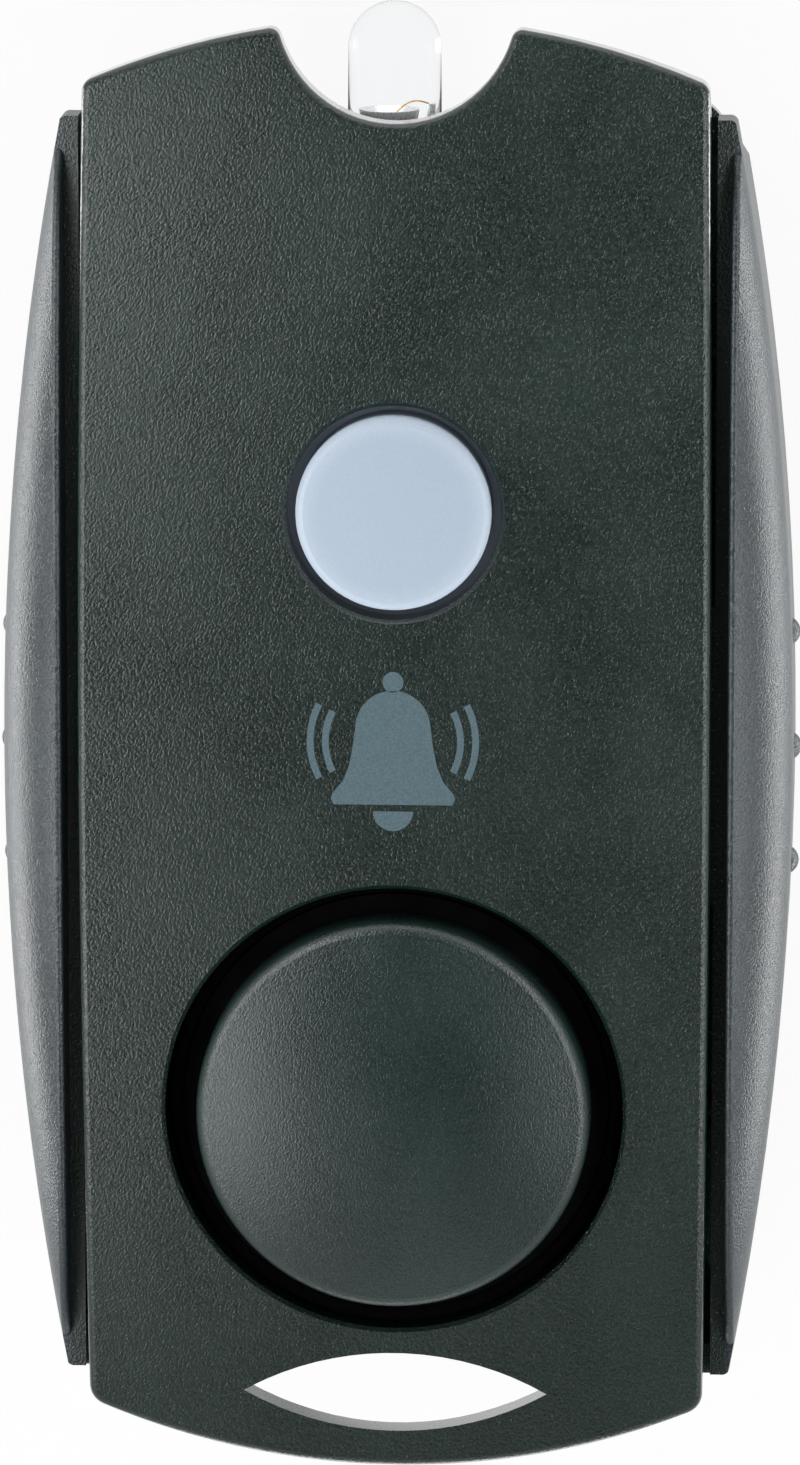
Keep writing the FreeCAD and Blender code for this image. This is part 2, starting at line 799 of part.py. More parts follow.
def cut_battery_bay(body):
    """Bore, ledge, lug groove and gates, door seat and the channel of the side contact."""
    collar_bore = mm.door_collar_radius + mm.door_gap
    lug_bore = mm.door_collar_radius + mm.lug_reach + mm.door_gap
    place = mm.button_place
    round_cut(body, "bay_bore", 0, place, bay_radius, bay_floor, FAR)
    round_cut(body, "lug_groove", 0, place, lug_bore, ledge_top, bay_floor - ledge_top)
    round_cut(body, "bay_mouth", 0, place, collar_bore, 0, ledge_top)
    round_cut(body, "door_seat", 0, place, mm.door_radius + mm.door_gap, 0, ledge_low)
    gate = Drawing(body, "gate_outline", at=(0, place, 0))
    half = mm.lug_width / 2 + mm.lug_side_gap
    gate.box(-lug_bore, -half, 0, half)
    around(body, "lug_gates", cut(body, "lug_gate", ledge_top, gate), gate)
    channel = Drawing(body, "channel_outline", at=(0, 0, bay_floor))
    side = mm.strip_width / 2 + mm.strip_side_gap
    depth = mm.cell_radius + mm.strip_back + mm.strip_thick + mm.strip_tab + mm.strip_side_gap
    channel.box(mm.cell_radius, place - side, depth, place + side)
    cut(body, "contact_channel", FAR, channel)


def cut_case_ends(body):
    """The drafted recess behind the lamp notch, the recess of the loop slot and the lamp's seat."""
    recess = mm.notch_radius + mm.recess_margin
    taper = Size(f"({tongue_top.text} * tan({mm.recess_draft.text}))",
                 tongue_top.number * math.tan(math.radians(mm.recess_draft.number)))
    turn(body, "lamp_recess", size(0), mm.notch_place,
         (0, 0), (recess + taper, 0), (recess, tongue_top), (recess, FAR), (0, FAR), kind="Groove")
    round_cut(body, "slot_recess", 0, -arch_place, mm.slot_top_radius, 0, FAR)
    window = Drawing(body, "lamp_window_ring", "XZ_Plane", (0, 0, -mm.case_top))
    window.circle(-mm.lamp_offset, lamp_level, mm.lamp_root_radius + mm.lamp_gap)
    cut(body, "lamp_window", mm.lamp_wall + mm.end_wall, window)
    seat_end = lamp_root + mm.lamp_flange + mm.lamp_gap
    seat = Drawing(body, "lamp_seat_ring", "XZ_Plane", (0, 0, -seat_end))
    seat.circle(-mm.lamp_offset, lamp_level, mm.lamp_flange_radius + mm.lamp_gap)
    cut(body, "lamp_seat", mm.lamp_wall, seat)


def make_battery_door():
    body = new_body("battery_door")
    place = mm.button_place
    disc = Drawing(body, "disc_ring", at=(0, 0, mm.door_sunk))
    disc.circle(0, place, mm.door_radius)
    pad(body, "disc", mm.door_thick - mm.door_sunk, disc)
    dress(body, "Chamfer", "disc_edge", mm.door_chamfer,
          lambda edge: edge.BoundBox.ZMax < mm.door_sunk.number + LEVEL)
    plug = Drawing(body, "plug_ring", at=(0, 0, mm.door_thick))
    plug.circle(0, place, mm.door_collar_radius)
    pad(body, "plug", mm.door_plug, plug)
    collar = Drawing(body, "collar_ring", at=(0, 0, mm.door_thick))
    collar.circle(0, place, mm.door_collar_radius)
    collar.circle(0, place, mm.door_collar_radius - mm.door_collar_wall)
    pad(body, "collar", mm.door_collar_height, collar)
    lug = Drawing(body, "lug_outline", at=(0, place, ledge_top + mm.lug_gap))
    lug.box(mm.door_collar_radius - mm.door_collar_wall / 2, -mm.lug_width / 2,
            mm.door_collar_radius + mm.lug_reach, mm.lug_width / 2)
    around(body, "lugs", pad(body, "lug", mm.lug_thick, lug), lug)
    slot = Drawing(body, "coin_slot_outline")
    reach, side = mm.coin_slot_length / 2, mm.coin_slot_width / 2
    slot.box(-reach, place - side, reach, place + side)
    cut(body, "coin_slot", mm.coin_slot_depth, slot)
    return body


def make_cell(label, level):
    """A coin cell, its can towards the door and its smaller cap towards the board."""
    body = new_body(label)
    shoulder = level + mm.cell_height - mm.cell_cap_height
    turn(body, "can", size(0), mm.button_place,
         (0, level), (mm.cell_radius, level), (mm.cell_radius, shoulder), (mm.cell_cap_radius, shoulder),
         (mm.cell_cap_radius, level + mm.cell_height), (0, level + mm.cell_height))
    dress(body, "Fillet", "can_edge", mm.cell_edge_round,
          lambda edge: is_ring(edge, 0, mm.button_place, mm.cell_radius))
    return body


def make_right_key():
    body = new_body("right_key")
    inward = key_inner - PAST - key_axis
    outward = mm.key_bow_radius
    foot = mm.key_foot_round
    crown = mm.key_crown_radius
    shoulder = outward - crown
    section = Drawing(body, "section", "XZ_Plane", (key_axis, 0, 0))
    section.path(
        (inward, key_foot),
        (outward - foot, key_foot, foot),
        (outward, key_foot + foot),
        (outward, crown_level, crown),
        (shoulder, crown_level + crown),
        (inward, crown_level + crown),
    )
    blank = body.newObject("PartDesign::Revolution", "bowed_blank")
    blank.Profile = section.sketch
    blank.ReferenceAxis = (section.sketch, ["V_Axis"])
    blank.Midplane = True
    blank.Angle = KEY_SWEEP
    doc.recompute()
    inner = Drawing(body, "inner_outline")
    inner.box(0, -FAR, key_inner, FAR)
    cut(body, "inner_side", FAR, inner)
    behind = Drawing(body, "ridge_outline", at=(0, 0, tongue_top))
    behind.box(0, -FAR, ridge, FAR)
    cut(body, "ridge", FAR, behind)
    dress(body, "Fillet", "ridge_edge", mm.ridge_round, is_ridge_edge)
    for name, end, way, lap_level, _ in key_ends():
        bend = mm.key_end_round
        tip = Drawing(body, name + "_end_outline")
        tip.path(
            (0, way * end),
            (key_side(end) - bend, way * end, -way * bend),
            (key_side(end - bend), way * (end - bend)),
            (FAR, way * (end - bend)),
            (FAR, way * FAR),
            (0, way * FAR),
        )
        cut(body, name + "_end", FAR, tip)
        step = end - mm.wing_inset - mm.wing_thick - mm.wing_gap
        lap = Drawing(body, name + "_lap_outline", "YZ_Plane", (0, 0, key_inner - PAST))
        lap.path(
            (way * step, lap_level),
            (way * FAR, lap_level),
            (way * FAR, wing_foot),
            (way * (step - mm.wing_lean), wing_foot),
        )
        cut(body, name + "_lap", FAR, lap)
    add_tongue(body)
    add_guides(body)
    core = Drawing(body, "core_outline", "YZ_Plane", (0, 0, key_inner))
    core.box(-mm.core_length / 2, mm.core_low, mm.core_length / 2, mm.core_high)
    cut(body, "core", mm.core_depth, core)
    for step, name in ((-1, "bottom"), (0, "middle"), (1, "top")):
        add_nub(body, name + "_nub", step * mm.nub_pitch)
    return body


def is_ridge_edge(edge):
    box = edge.BoundBox
    straight = box.XLength < LEVEL and abs(box.XMin - ridge.number) < LEVEL
    return straight and box.YLength > mm.case_top.number and box.ZMax > tongue_top.number + PAST


def add_tongue(body):
    """The tongue that works the key's switch, and the hook on it that keeps the key in the case."""
    half = mm.tongue_length / 2
    tongue = Drawing(body, "tongue_outline", at=(0, 0, tongue_foot))
    tongue.box(tongue_inner, -half, key_inner + JOIN, half)
    pad(body, "tongue", mm.tongue_thick, tongue)
    hook = Drawing(body, "hook_outline", at=(0, 0, tongue_foot - mm.hook_depth))
    hook.box(tongue_inner, -half, tongue_inner + mm.hook_thick, half)
    pad(body, "hook", mm.hook_depth, hook)


def add_guides(body):
    """Spring pockets with a guide pin standing in each."""
    pocket_end = key_side(mm.guide_place) - mm.spring_pocket_skin
    pin_start = cavity_half - mm.guide_reach / 2
    pockets = Drawing(body, "pocket_rings", "YZ_Plane", (0, 0, key_inner))
    pins = Drawing(body, "pin_rings", "YZ_Plane", (0, 0, pin_start))
    for way in (-1, 1):
        pockets.circle(way * mm.guide_place, mm.guide_level, mm.spring_pocket_radius)
        pins.circle(way * mm.guide_place, mm.guide_level, mm.guide_pin_radius)
    cut(body, "spring_pockets", pocket_end - key_inner, pockets)
    pad(body, "guide_pins", pocket_end - pin_start + JOIN, pins)


def add_nub(body, name, place):
    nub = body.newObject("PartDesign::AdditiveSphere", name)
    bind(nub, "Radius", mm.nub_radius)
    bind(nub, "Placement.Base.x", key_side(place) + mm.nub_height - mm.nub_radius)
    bind(nub, "Placement.Base.y", place)
    bind(nub, "Placement.Base.z", mm.nub_level)
    doc.recompute()
    return nub


def make_right_springs():
    body = new_body("right_key_springs")
    start = wall_half + mm.spring_seat_gap + mm.spring_wire / 2
    stop = key_side(mm.guide_place) - mm.spring_pocket_skin - mm.spring_seat_gap - mm.spring_wire / 2
    for name, place in (("top", mm.guide_place), ("bottom", -mm.guide_place)):
        wire = Drawing(body, name + "_wire", at=(0, place, mm.guide_level))
        wire.circle(start, mm.spring_radius, mm.spring_wire / 2)
        coil = body.newObject("PartDesign::AdditiveHelix", name + "_coil")
        coil.Profile = wire.sketch
        coil.ReferenceAxis = (wire.sketch, ["H_Axis"])
        coil.Mode = "height-turns-angle"
        bind(coil, "Height", stop - start)
        bind(coil, "Turns", mm.spring_turns)
        doc.recompute()
    return body


def make_torch_button():
    body = new_body("torch_button")
    crown = button_rim + mm.button_crown
    turn(body, "button", size(0), mm.button_place,
         (0, stem_top), (mm.button_pin_radius, stem_top), (mm.button_pin_radius, flange_low),
         (flange_radius, flange_low), (flange_radius, flange_top), (button_radius, flange_top),
         (button_radius, button_rim, arc_radius(button_radius, mm.button_crown)), (0, crown))
    dress(body, "Fillet", "rim", mm.button_round,
          lambda edge: is_ring(edge, 0, mm.button_place, button_radius)
          and edge.CenterOfMass.z > face.number - PAST)
    return body


def make_torch_switch():
    body = new_body("torch_switch")
    half = mm.switch_width / 2
    outline = Drawing(body, "outline", at=(0, mm.button_place, board_top_level))
    outline.box(-half, -half, half, half)
    pad(body, "case", mm.switch_height, outline)
    round_cut(body, "bore", 0, mm.button_place, mm.stem_radius + mm.stem_gap, switch_bore, FAR)
    return body


def make_torch_switch_stem():
    body = new_body("torch_switch_stem")
    foot = switch_bore + mm.button_travel + mm.stem_gap
    ring = Drawing(body, "ring", at=(0, 0, foot))
    ring.circle(0, mm.button_place, mm.stem_radius)
    pad(body, "stem", stem_top - foot, ring)
    return body


def make_right_switch():
    body = new_body("right_key_switch")
    high = side_stem_level + mm.side_stem_height + mm.side_switch_skin
    half = mm.side_switch_width / 2
    outline = Drawing(body, "outline", at=(0, 0, board_top_level))
    outline.box(side_switch_face - mm.side_switch_length, -half, side_switch_face, half)
    pad(body, "case", high - board_top_level, outline)
    gap = mm.stem_gap
    depth = mm.side_stem_hold + mm.key_travel + gap
    bore = Drawing(body, "bore_outline", "YZ_Plane", (0, 0, side_switch_face - depth))
    bore.box(-mm.side_stem_width / 2 - gap, side_stem_level - gap,
             mm.side_stem_width / 2 + gap, side_stem_level + mm.side_stem_height + gap)
    cut(body, "bore", depth, bore)
    return body


def make_right_switch_stem():
    body = new_body("right_switch_stem")
    start = side_switch_face - mm.side_stem_hold
    outline = Drawing(body, "outline", "YZ_Plane", (0, 0, start))
    outline.box(-mm.side_stem_width / 2, side_stem_level,
                mm.side_stem_width / 2, side_stem_level + mm.side_stem_height)
    pad(body, "stem", tongue_inner - start, outline)
    return body


def make_siren_cap():
    body = new_body("siren_cap")
    outer = mm.cap_diameter / 2
    inner = outer - mm.cap_thick
    crown = cap_edge + mm.cap_crown
    low = cap_edge - mm.cap_depth
    place = -mm.siren_place
    bend = arc_radius(outer, mm.cap_crown)
    hollow_bend = bend - mm.cap_thick
    turn(body, "dome", size(0), place,
         (inner, low), (outer, low), (outer, cap_edge, bend),
         (0, crown), (0, crown - mm.cap_thick, -hollow_bend),
         (inner, crown - mm.cap_thick - arc_drop(hollow_bend, inner)))
    dress(body, "Fillet", "dome_edge", mm.cap_round,
          lambda edge: is_ring(edge, 0, place, outer) and edge.CenterOfMass.z > low.number + ALIKE)
    leg = Drawing(body, "leg_outline", at=(0, place, housing_top))
    leg.box(mm.cap_leg_inner, -mm.cap_leg_width / 2, mm.cap_leg_outer, mm.cap_leg_width / 2)
    around(body, "legs", pad(body, "leg", cap_edge - mm.cap_round / 2 - housing_top, leg), leg)
    return body


def make_siren_housing():
    body = new_body("siren_housing")
    outer = mm.housing_radius
    bore = outer - mm.housing_wall
    chamber = bore - mm.disc_ledge
    ceiling = housing_top - mm.housing_plate
    place = -mm.siren_place
    turn(body, "cup", size(0), place,
         (bore, mm.stand_height), (outer, mm.stand_height),
         (outer, housing_top), (mm.sound_hole_radius, housing_top),
         (mm.sound_hole_radius, ceiling), (chamber, ceiling), (chamber, disc_seat), (bore, disc_seat))
    half = (mm.lead_spacing + mm.lead_diameter) / 2 + mm.lead_notch_gap
    notch = Drawing(body, "lead_notch_outline", at=(0, place, mm.stand_height))
    notch.box(-half, chamber, half, outer + PAST)
    notch_top = ceramic_level - mm.lead_drop + mm.lead_diameter + mm.lead_notch_gap
    cut(body, "lead_notch", notch_top - mm.stand_height, notch)
    return body


def make_disc(label, x, y, radius, low, thick, bore=None):
    """A plain round disc, or a ring where it has a bore."""
    body = new_body(label)
    ring = Drawing(body, "ring", at=(0, 0, low))
    ring.circle(x, y, radius)
    if bore is not None:
        ring.circle(x, y, bore)
    pad(body, "disc", thick, ring)
    return body


def make_lead(label, x, start_place, start_level):
    """A wire from the sounder down, along the case and up to the board, in straight runs and arcs."""
    body = new_body(label)
    low = ceramic_level - mm.lead_drop
    bend = mm.lead_bend
    end_place = -board_bottom_end + mm.lead_landing
    ring = Drawing(body, "wire_ring", at=(0, 0, start_level))
    ring.circle(x, start_place, mm.lead_diameter / 2)
    route = Drawing(body, "route", "YZ_Plane", (0, 0, x))
    route.path(
        (start_place, start_level),
        (start_place, low + bend, bend),
        (start_place + bend, low),
        (end_place - bend, low, bend),
        (end_place, low + bend),
        (end_place, board_level),
        closed=False,
    )
    wire = body.newObject("PartDesign::AdditivePipe", "wire")
    wire.Profile = ring.sketch
    wire.Spine = (route.sketch, [])
    doc.recompute()
    return body


def make_circuit_board():
    body = new_body("circuit_board")
    notch_x = screw_x - mm.post_radius - mm.board_post_gap
    notch_y = screw_top - mm.post_radius - mm.board_post_gap
    outline = Drawing(body, "outline", at=(0, 0, board_level))
    outline.path(
        (-board_half, -board_bottom_end),
        (board_half, -board_bottom_end),
        (board_half, notch_y),
        (notch_x, notch_y),
        (notch_x, board_top_end),
        (-notch_x, board_top_end),
        (-notch_x, notch_y),
        (-board_half, notch_y),
    )
    pad(body, "board", mm.board_thick, outline)
    return body


def make_board_block(label, x, y, length, width, height):
    """A moulded component standing on the board, its top edges broken."""
    body = new_body(label)
    outline = Drawing(body, "outline", at=(x, y, board_top_level))
    outline.box(-length / 2, -width / 2, length / 2, width / 2)
    pad(body, "block", height, outline)
    top = (board_top_level + height).number
    dress(body, "Chamfer", "top_edge", mm.hole_edge, lambda edge: edge.BoundBox.ZMin > top - LEVEL)
    return body


def make_boost_inductor():
    body = new_body("boost_inductor")
    low, high = board_top_level, board_top_level + mm.coil_height
    turn(body, "coil", -mm.part_column, mm.coil_place,
         (0, low), (mm.coil_radius, low), (mm.coil_radius, low + mm.coil_flange),
         (mm.coil_waist, low + mm.coil_flange), (mm.coil_waist, high - mm.coil_flange),
         (mm.coil_radius, high - mm.coil_flange), (mm.coil_radius, high), (0, high))
    return body


def make_chip_resistors():
    body = new_body("chip_resistors")
    outlines = Drawing(body, "outlines", at=(0, mm.resistor_place, board_top_level))
    for step in (-1.5, -0.5, 0.5, 1.5):
        middle = step * mm.resistor_pitch
        outlines.box(middle - mm.resistor_width / 2, -mm.resistor_length / 2,
                     middle + mm.resistor_width / 2, mm.resistor_length / 2)
    pad(body, "blocks", mm.resistor_height, outlines)
    return body


def make_lamp_lead_frame():
    """The cup post and the wire post, each running out of the lamp as a leg under the board."""
    body = new_body("lamp_lead_frame")
    half = mm.leg_thick / 2
    leg = mm.leg_spacing / 2
    leg_end = lamp_root - mm.leg_length
    anvil_high = mm.lamp_tip - mm.anvil_drop
    anvil_low = anvil_high - mm.anvil_height
    anvil_right = leg - half - mm.anvil_gap
    plates = Drawing(body, "plates", at=(-mm.lamp_offset, 0, lamp_level - half))
    plates.path(
        (-leg - half, leg_end),
        (-leg + half, leg_end),
        (-leg + half, anvil_low - mm.leg_thick),
        (anvil_right, anvil_low),
        (anvil_right, anvil_high),
        (anvil_right - mm.anvil_width, anvil_high),
        (anvil_right - mm.anvil_width, anvil_low),
        (-leg - half, anvil_low - mm.leg_thick),
    )
    plates.box(leg - half, leg_end, leg + half, mm.lamp_tip - mm.wire_post_drop)
    pad(body, "frame", mm.leg_thick, plates)
    return body


def make_lamp_lens(frame):
    """The clear lamp body with its flange and round tip, moulded round the lead frame."""
    body = new_body("lamp_moulding")
    shoulder = lamp_root + mm.lamp_flange
    dome = mm.lamp_tip - mm.lamp_radius
    section = Drawing(body, "section", at=(-mm.lamp_offset, 0, lamp_level))
    section.path(
        (0, lamp_root),
        (mm.lamp_flange_radius, lamp_root),
        (mm.lamp_flange_radius, shoulder),
        (mm.lamp_root_radius, shoulder),
        (mm.lamp_radius, dome, mm.lamp_radius),
        (0, mm.lamp_tip),
    )
    lens = body.newObject("PartDesign::Revolution", "lens")
    lens.Profile = section.sketch
    lens.ReferenceAxis = (section.sketch, ["V_Axis"])
    lens.Angle = 360
    doc.recompute()
    item = doc.addObject("Part::Cut", "lamp_lens")
    item.Label = "lamp_lens"
    item.Base = body
    item.Tool = frame
    doc.recompute()
    return item


def make_positive_contact():
    """A bent strip whose nose presses on the lower cell's side and whose tab lies under the board."""
    body = new_body("positive_contact")
    near = mm.cell_radius + mm.cell_stack_gap
    back = near + mm.strip_back
    thick = mm.strip_thick
    low = lower_cell + mm.cell_height / 2 - mm.strip_nose
    high = low + 2 * mm.strip_nose
    bent = high + mm.strip_back
    section = Drawing(body, "section", "XZ_Plane", (0, 0, -(mm.button_place + mm.strip_width / 2)))
    section.path(
        (near, low), (near + thick, low), (near + thick, high), (back + thick, bent),
        (back + thick, board_level - thick), (back + thick + mm.strip_tab, board_level - thick),
        (back + thick + mm.strip_tab, board_level), (back, board_level), (back, bent), (near, high))
    pad(body, "strip", mm.strip_width, section)
    return body


def make_negative_contact():
    """A leaf fixed under the board, bent down to press on the upper cell's cap."""
    body = new_body("negative_contact")
    thick = mm.leaf_thick
    touch = cells_top + mm.cell_stack_gap / 2
    start = -(mm.leaf_root + mm.leaf_slope / 2)
    bend = start + mm.leaf_root
    nose = bend + mm.leaf_slope
    tip = nose + mm.leaf_nose
    section = Drawing(body, "section", "XZ_Plane", (0, 0, -(mm.button_place + mm.leaf_width / 2)))
    section.path(
        (start, board_level - thick), (bend, board_level - thick), (nose, touch), (tip, touch),
        (tip, touch + thick), (nose, touch + thick), (bend, board_level), (start, board_level))
    pad(body, "leaf", mm.leaf_width, section)
    return body


def make_case_screws():
    body = new_body("case_screws")
    heads = Drawing(body, "head_rings", at=(0, 0, mm.screw_sunk))
    shanks = Drawing(body, "shank_rings", at=(0, 0, mm.screw_sunk + mm.screw_head_height))
    crosses = Drawing(body, "cross_outlines", at=(0, 0, mm.screw_sunk))
    arm, side = mm.recess_arm / 2, mm.recess_slot / 2
    corners = ((-arm, -side), (-side, -side), (-side, -arm), (side, -arm), (side, -side), (arm, -side),
               (arm, side), (side, side), (side, arm), (-side, arm), (-side, side), (-arm, side))
    for x, y in screw_places():
        heads.circle(x, y, mm.screw_head_radius)
        shanks.circle(x, y, mm.screw_radius)
        crosses.path(*((x + across, y + along) for across, along in corners))
    pad(body, "heads", mm.screw_head_height, heads)
    dress(body, "Chamfer", "head_edges", mm.hole_edge,
          lambda edge: edge.BoundBox.ZMax < mm.screw_sunk.number + LEVEL)
    pad(body, "shanks", dip_level + mm.screw_bite - mm.screw_sunk - mm.screw_head_height, shanks)
    cut(body, "crosses", mm.recess_depth, crosses)
    return body


def mirrored(label, source):
    item = doc.addObject("Part::Mirroring", label)
    item.Label = label
    item.Source = source
    item.Normal = Vector(1, 0, 0)
    return item


def make_parts():
    """Every piece of the alarm, by the name of its node."""
    siren = -mm.siren_place
    half_spacing = mm.lead_spacing / 2
    disc_edge = mm.housing_radius - mm.housing_wall - mm.disc_gap
    foam_inner = mm.housing_radius + mm.foam_gap
    foam_outer = opening_radius - mm.foam_gap
    frame = make_lamp_lead_frame()
    parts = [
        make_front_cover(),
        make_rear_case(),
        make_battery_door(),
        make_cell("coin_cell_lower", lower_cell),
        make_cell("coin_cell_upper", upper_cell),
        make_positive_contact(),
        make_negative_contact(),
        make_circuit_board(),
        make_board_block("sound_chip", -mm.part_column, chip_place,
                         mm.chip_length, mm.chip_width, mm.chip_height),
        make_board_block("drive_transistor", mm.part_column, chip_place,
                         mm.transistor_length, mm.transistor_width, mm.chip_height),
        make_boost_inductor(),
        make_disc("capacitor", mm.part_column, mm.coil_place, mm.capacitor_radius,
                  board_top_level, mm.capacitor_height),
        make_chip_resistors(),
        make_torch_button(),
        make_torch_switch(),
        make_torch_switch_stem(),
        make_siren_cap(),
        make_siren_housing(),
        make_disc("foam_ring", 0, siren, foam_outer, collar_foot, housing_top - collar_foot, foam_inner),
        make_disc("piezo_disc", 0, siren, disc_edge, disc_level, mm.disc_thick),
        make_disc("piezo_ceramic", 0, siren, mm.ceramic_radius, ceramic_level, mm.ceramic_thick),
        make_lead("piezo_lead_positive", half_spacing, siren + mm.ceramic_radius / 2, ceramic_level),
        make_lead("piezo_lead_negative", -half_spacing,
                  siren + (mm.ceramic_radius + disc_edge) / 2, disc_level),
        frame,
        make_lamp_lens(frame),
        make_case_screws(),
    ]
    right_to_left = {
        "left_key": make_right_key(),
        "left_key_springs": make_right_springs(),
        "left_key_switch": make_right_switch(),
        "left_switch_stem": make_right_switch_stem(),
    }
    for label, right in right_to_left.items():
        parts += [right, mirrored(label, right)]
    doc.recompute()
    return {part.Label: part for part in parts}


def write_parts(parts):
    for item in doc.Objects:
        if "Invalid" in item.State or "Error" in item.State:
            raise RuntimeError(f"{item.Label} can't be made")
    for name, part in parts.items():
        if part.Shape.isNull() or not part.Shape.isValid():
            raise RuntimeError(f"{name} isn't a valid shape")
    os.makedirs("parts", exist_ok=True)
    for name, part in parts.items():
        part.Shape.exportStep(f"parts/{name}.step")
        print(f"{name}: {len(part.Shape.Solids)} solid, {part.Shape.Volume:.1f} cubic mm")


write_parts(make_parts())
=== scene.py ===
import math

import bmesh
import bpy
from bpy.props import FloatProperty, FloatVectorProperty, IntProperty, PointerProperty
from mathutils import Matrix, Vector
from mathutils.bvhtree import BVHTree


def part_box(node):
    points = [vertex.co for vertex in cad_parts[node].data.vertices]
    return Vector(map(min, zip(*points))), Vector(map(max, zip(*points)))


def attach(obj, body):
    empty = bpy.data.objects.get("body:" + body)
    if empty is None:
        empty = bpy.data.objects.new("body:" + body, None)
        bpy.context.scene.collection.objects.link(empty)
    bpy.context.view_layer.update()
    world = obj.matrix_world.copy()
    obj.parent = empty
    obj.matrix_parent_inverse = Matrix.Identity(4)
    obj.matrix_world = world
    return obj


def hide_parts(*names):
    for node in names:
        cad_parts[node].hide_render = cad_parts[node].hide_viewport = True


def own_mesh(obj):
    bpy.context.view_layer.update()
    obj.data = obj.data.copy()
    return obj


bl_info = {
    "name": "Panic Alarm Looks",
    "version": (1, 0, 0),
    "blender": (4, 5, 0),
    "location": "View3D > Sidebar > Alarm",
    "description": "Dresses a pocket panic alarm with its finishes, lamp, print, small parts and stage",
    "category": "Object",
}

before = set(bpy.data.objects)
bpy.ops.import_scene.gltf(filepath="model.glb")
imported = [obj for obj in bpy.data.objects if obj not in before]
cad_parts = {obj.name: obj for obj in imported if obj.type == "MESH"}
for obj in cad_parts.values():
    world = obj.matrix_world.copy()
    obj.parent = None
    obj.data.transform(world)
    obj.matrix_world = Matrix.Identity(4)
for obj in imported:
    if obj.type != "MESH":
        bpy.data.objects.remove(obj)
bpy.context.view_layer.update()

MM = 0.001
RIDGE = 17.4 * MM  # from the mid-plane to the ridges of the keys, which bound the grooves
IMAGE_WIDTH = 800
IMAGE_HEIGHT = 1465
SENSOR = 36.0
FLOOR_DROP = 0.05 * MM  # keeps the floor out of the plane of the flat back

# Points down one side of the bell's body, for a bell 8.2 units high
BELL_SIDE = ((2.1, 0.3), (2.3, -0.7), (2.62, -1.5), (3.15, -2.15), (3.25, -2.45), (3.1, -2.75))

# The soft lamps: name, place, size and the setting of the stage that holds the brightness. Places
# and sizes are in millimetres. For a lamp beside or over the object the first size lies along it.
LAMPS = (
    ("near_lamp", (-42, 38, 62), (22, 22), "near_gloss"),
    ("side_lamp", (-38, 16, 64), (74, 16), "side_gloss"),
    ("low_lamp", (-44, -30, 66), (40, 24), "low_gloss"),
    ("left_strip", (-49, 6, 64), (110, 18), "left_gloss"),
    ("right_strip", (51, 6, 64), (110, 20), "right_gloss"),
    ("top_wall", (0, 105, 40), (120, 50), "top_gloss"),
    ("bottom_rim", (0, -62, 6), (34, 12), "bottom_gloss"),
    ("left_rim", (-45, 3, 4), (74, 9), "rim_gloss"),
    ("right_rim", (45, 3, 4), (74, 9), "rim_gloss"),
)


def paint(red, green, blue):
    """A colour as seen on screen, from 0 to 255, as the linear colour that a shader takes."""

    def linear(level):
        value = level / 255
        return value / 12.92 if value <= 0.04045 else ((value + 0.055) / 1.055) ** 2.4

    return linear(red), linear(green), linear(blue)


def opaque(tint):
    return (*tint, 1.0)


# Sizes and colours that a user would change


def length(name, description, millimetres):
    return FloatProperty(name=name, description=description, default=millimetres * MM,
                         min=0.0, precision=6, subtype="DISTANCE", unit="LENGTH")


def colour(name, description, value):
    return FloatVectorProperty(name=name, description=description, default=value,
                               size=3, min=0.0, max=1.0, subtype="COLOR")


def share(name, description, value, most=1.0):
    return FloatProperty(name=name, description=description, default=value,
                         min=0.0, max=most, subtype="FACTOR")


def angle(name, description, degrees):
    return FloatProperty(name=name, description=description, default=math.radians(degrees),
                         subtype="ANGLE", unit="ROTATION")


def gloss(name, description, value):
    return FloatProperty(name=name, description=description + ", where 1 is white", default=value, min=0.0)


class ShellFinish(bpy.types.PropertyGroup):
    # The shell colour is also painted on the keys' inner bands as shade.
    shell: colour("Shell", "Black plastic of the cover and the case", (0.0045, 0.0185, 0.0145))
    key: colour("Key", "Charcoal plastic of the squeeze keys", (0.024, 0.036, 0.042))
    # Depth is darker than plain black plastic: besides the parts' own black it is painted shade down the
    # gaps.
    depth: colour("Depth", "Dull black of the parts seen down the gaps", (0.001, 0.0015, 0.0013))
    cap: colour("Cap", "Black plastic of the siren cap", (0.011, 0.028, 0.025))
    button: colour("Button", "Pale plastic of the torch button", paint(182, 200, 219))
    # The paler rim is a painted glow, standing for light that comes through the edge of the plastic.
    button_rim_glow: colour("Button rim", "Paler edge of the torch button", paint(196, 211, 228))
    ink: colour("Ink", "Slate ink of the printed bell", paint(78, 105, 114))
    dust: colour("Dust", "Lint caught in the grooves", paint(150, 158, 160))
    grain_length: length("Grain length", "Length of the waves in the moulded grain", 0.18)
    grain_width: length("Grain width", "Width of the waves in the moulded grain", 0.115)
    grain_depth: length("Grain depth", "Depth of the moulded grain", 0.052)
    grain_lean: angle("Grain lean", "Turn of the grain away from the long side", 25)
    shell_roughness: share("Shell roughness", "Roughness of the cover", 0.3)
    key_roughness: share("Key roughness", "Roughness of the squeeze keys", 0.32)
    cap_roughness: share("Cap roughness", "Roughness of the siren cap", 0.3)


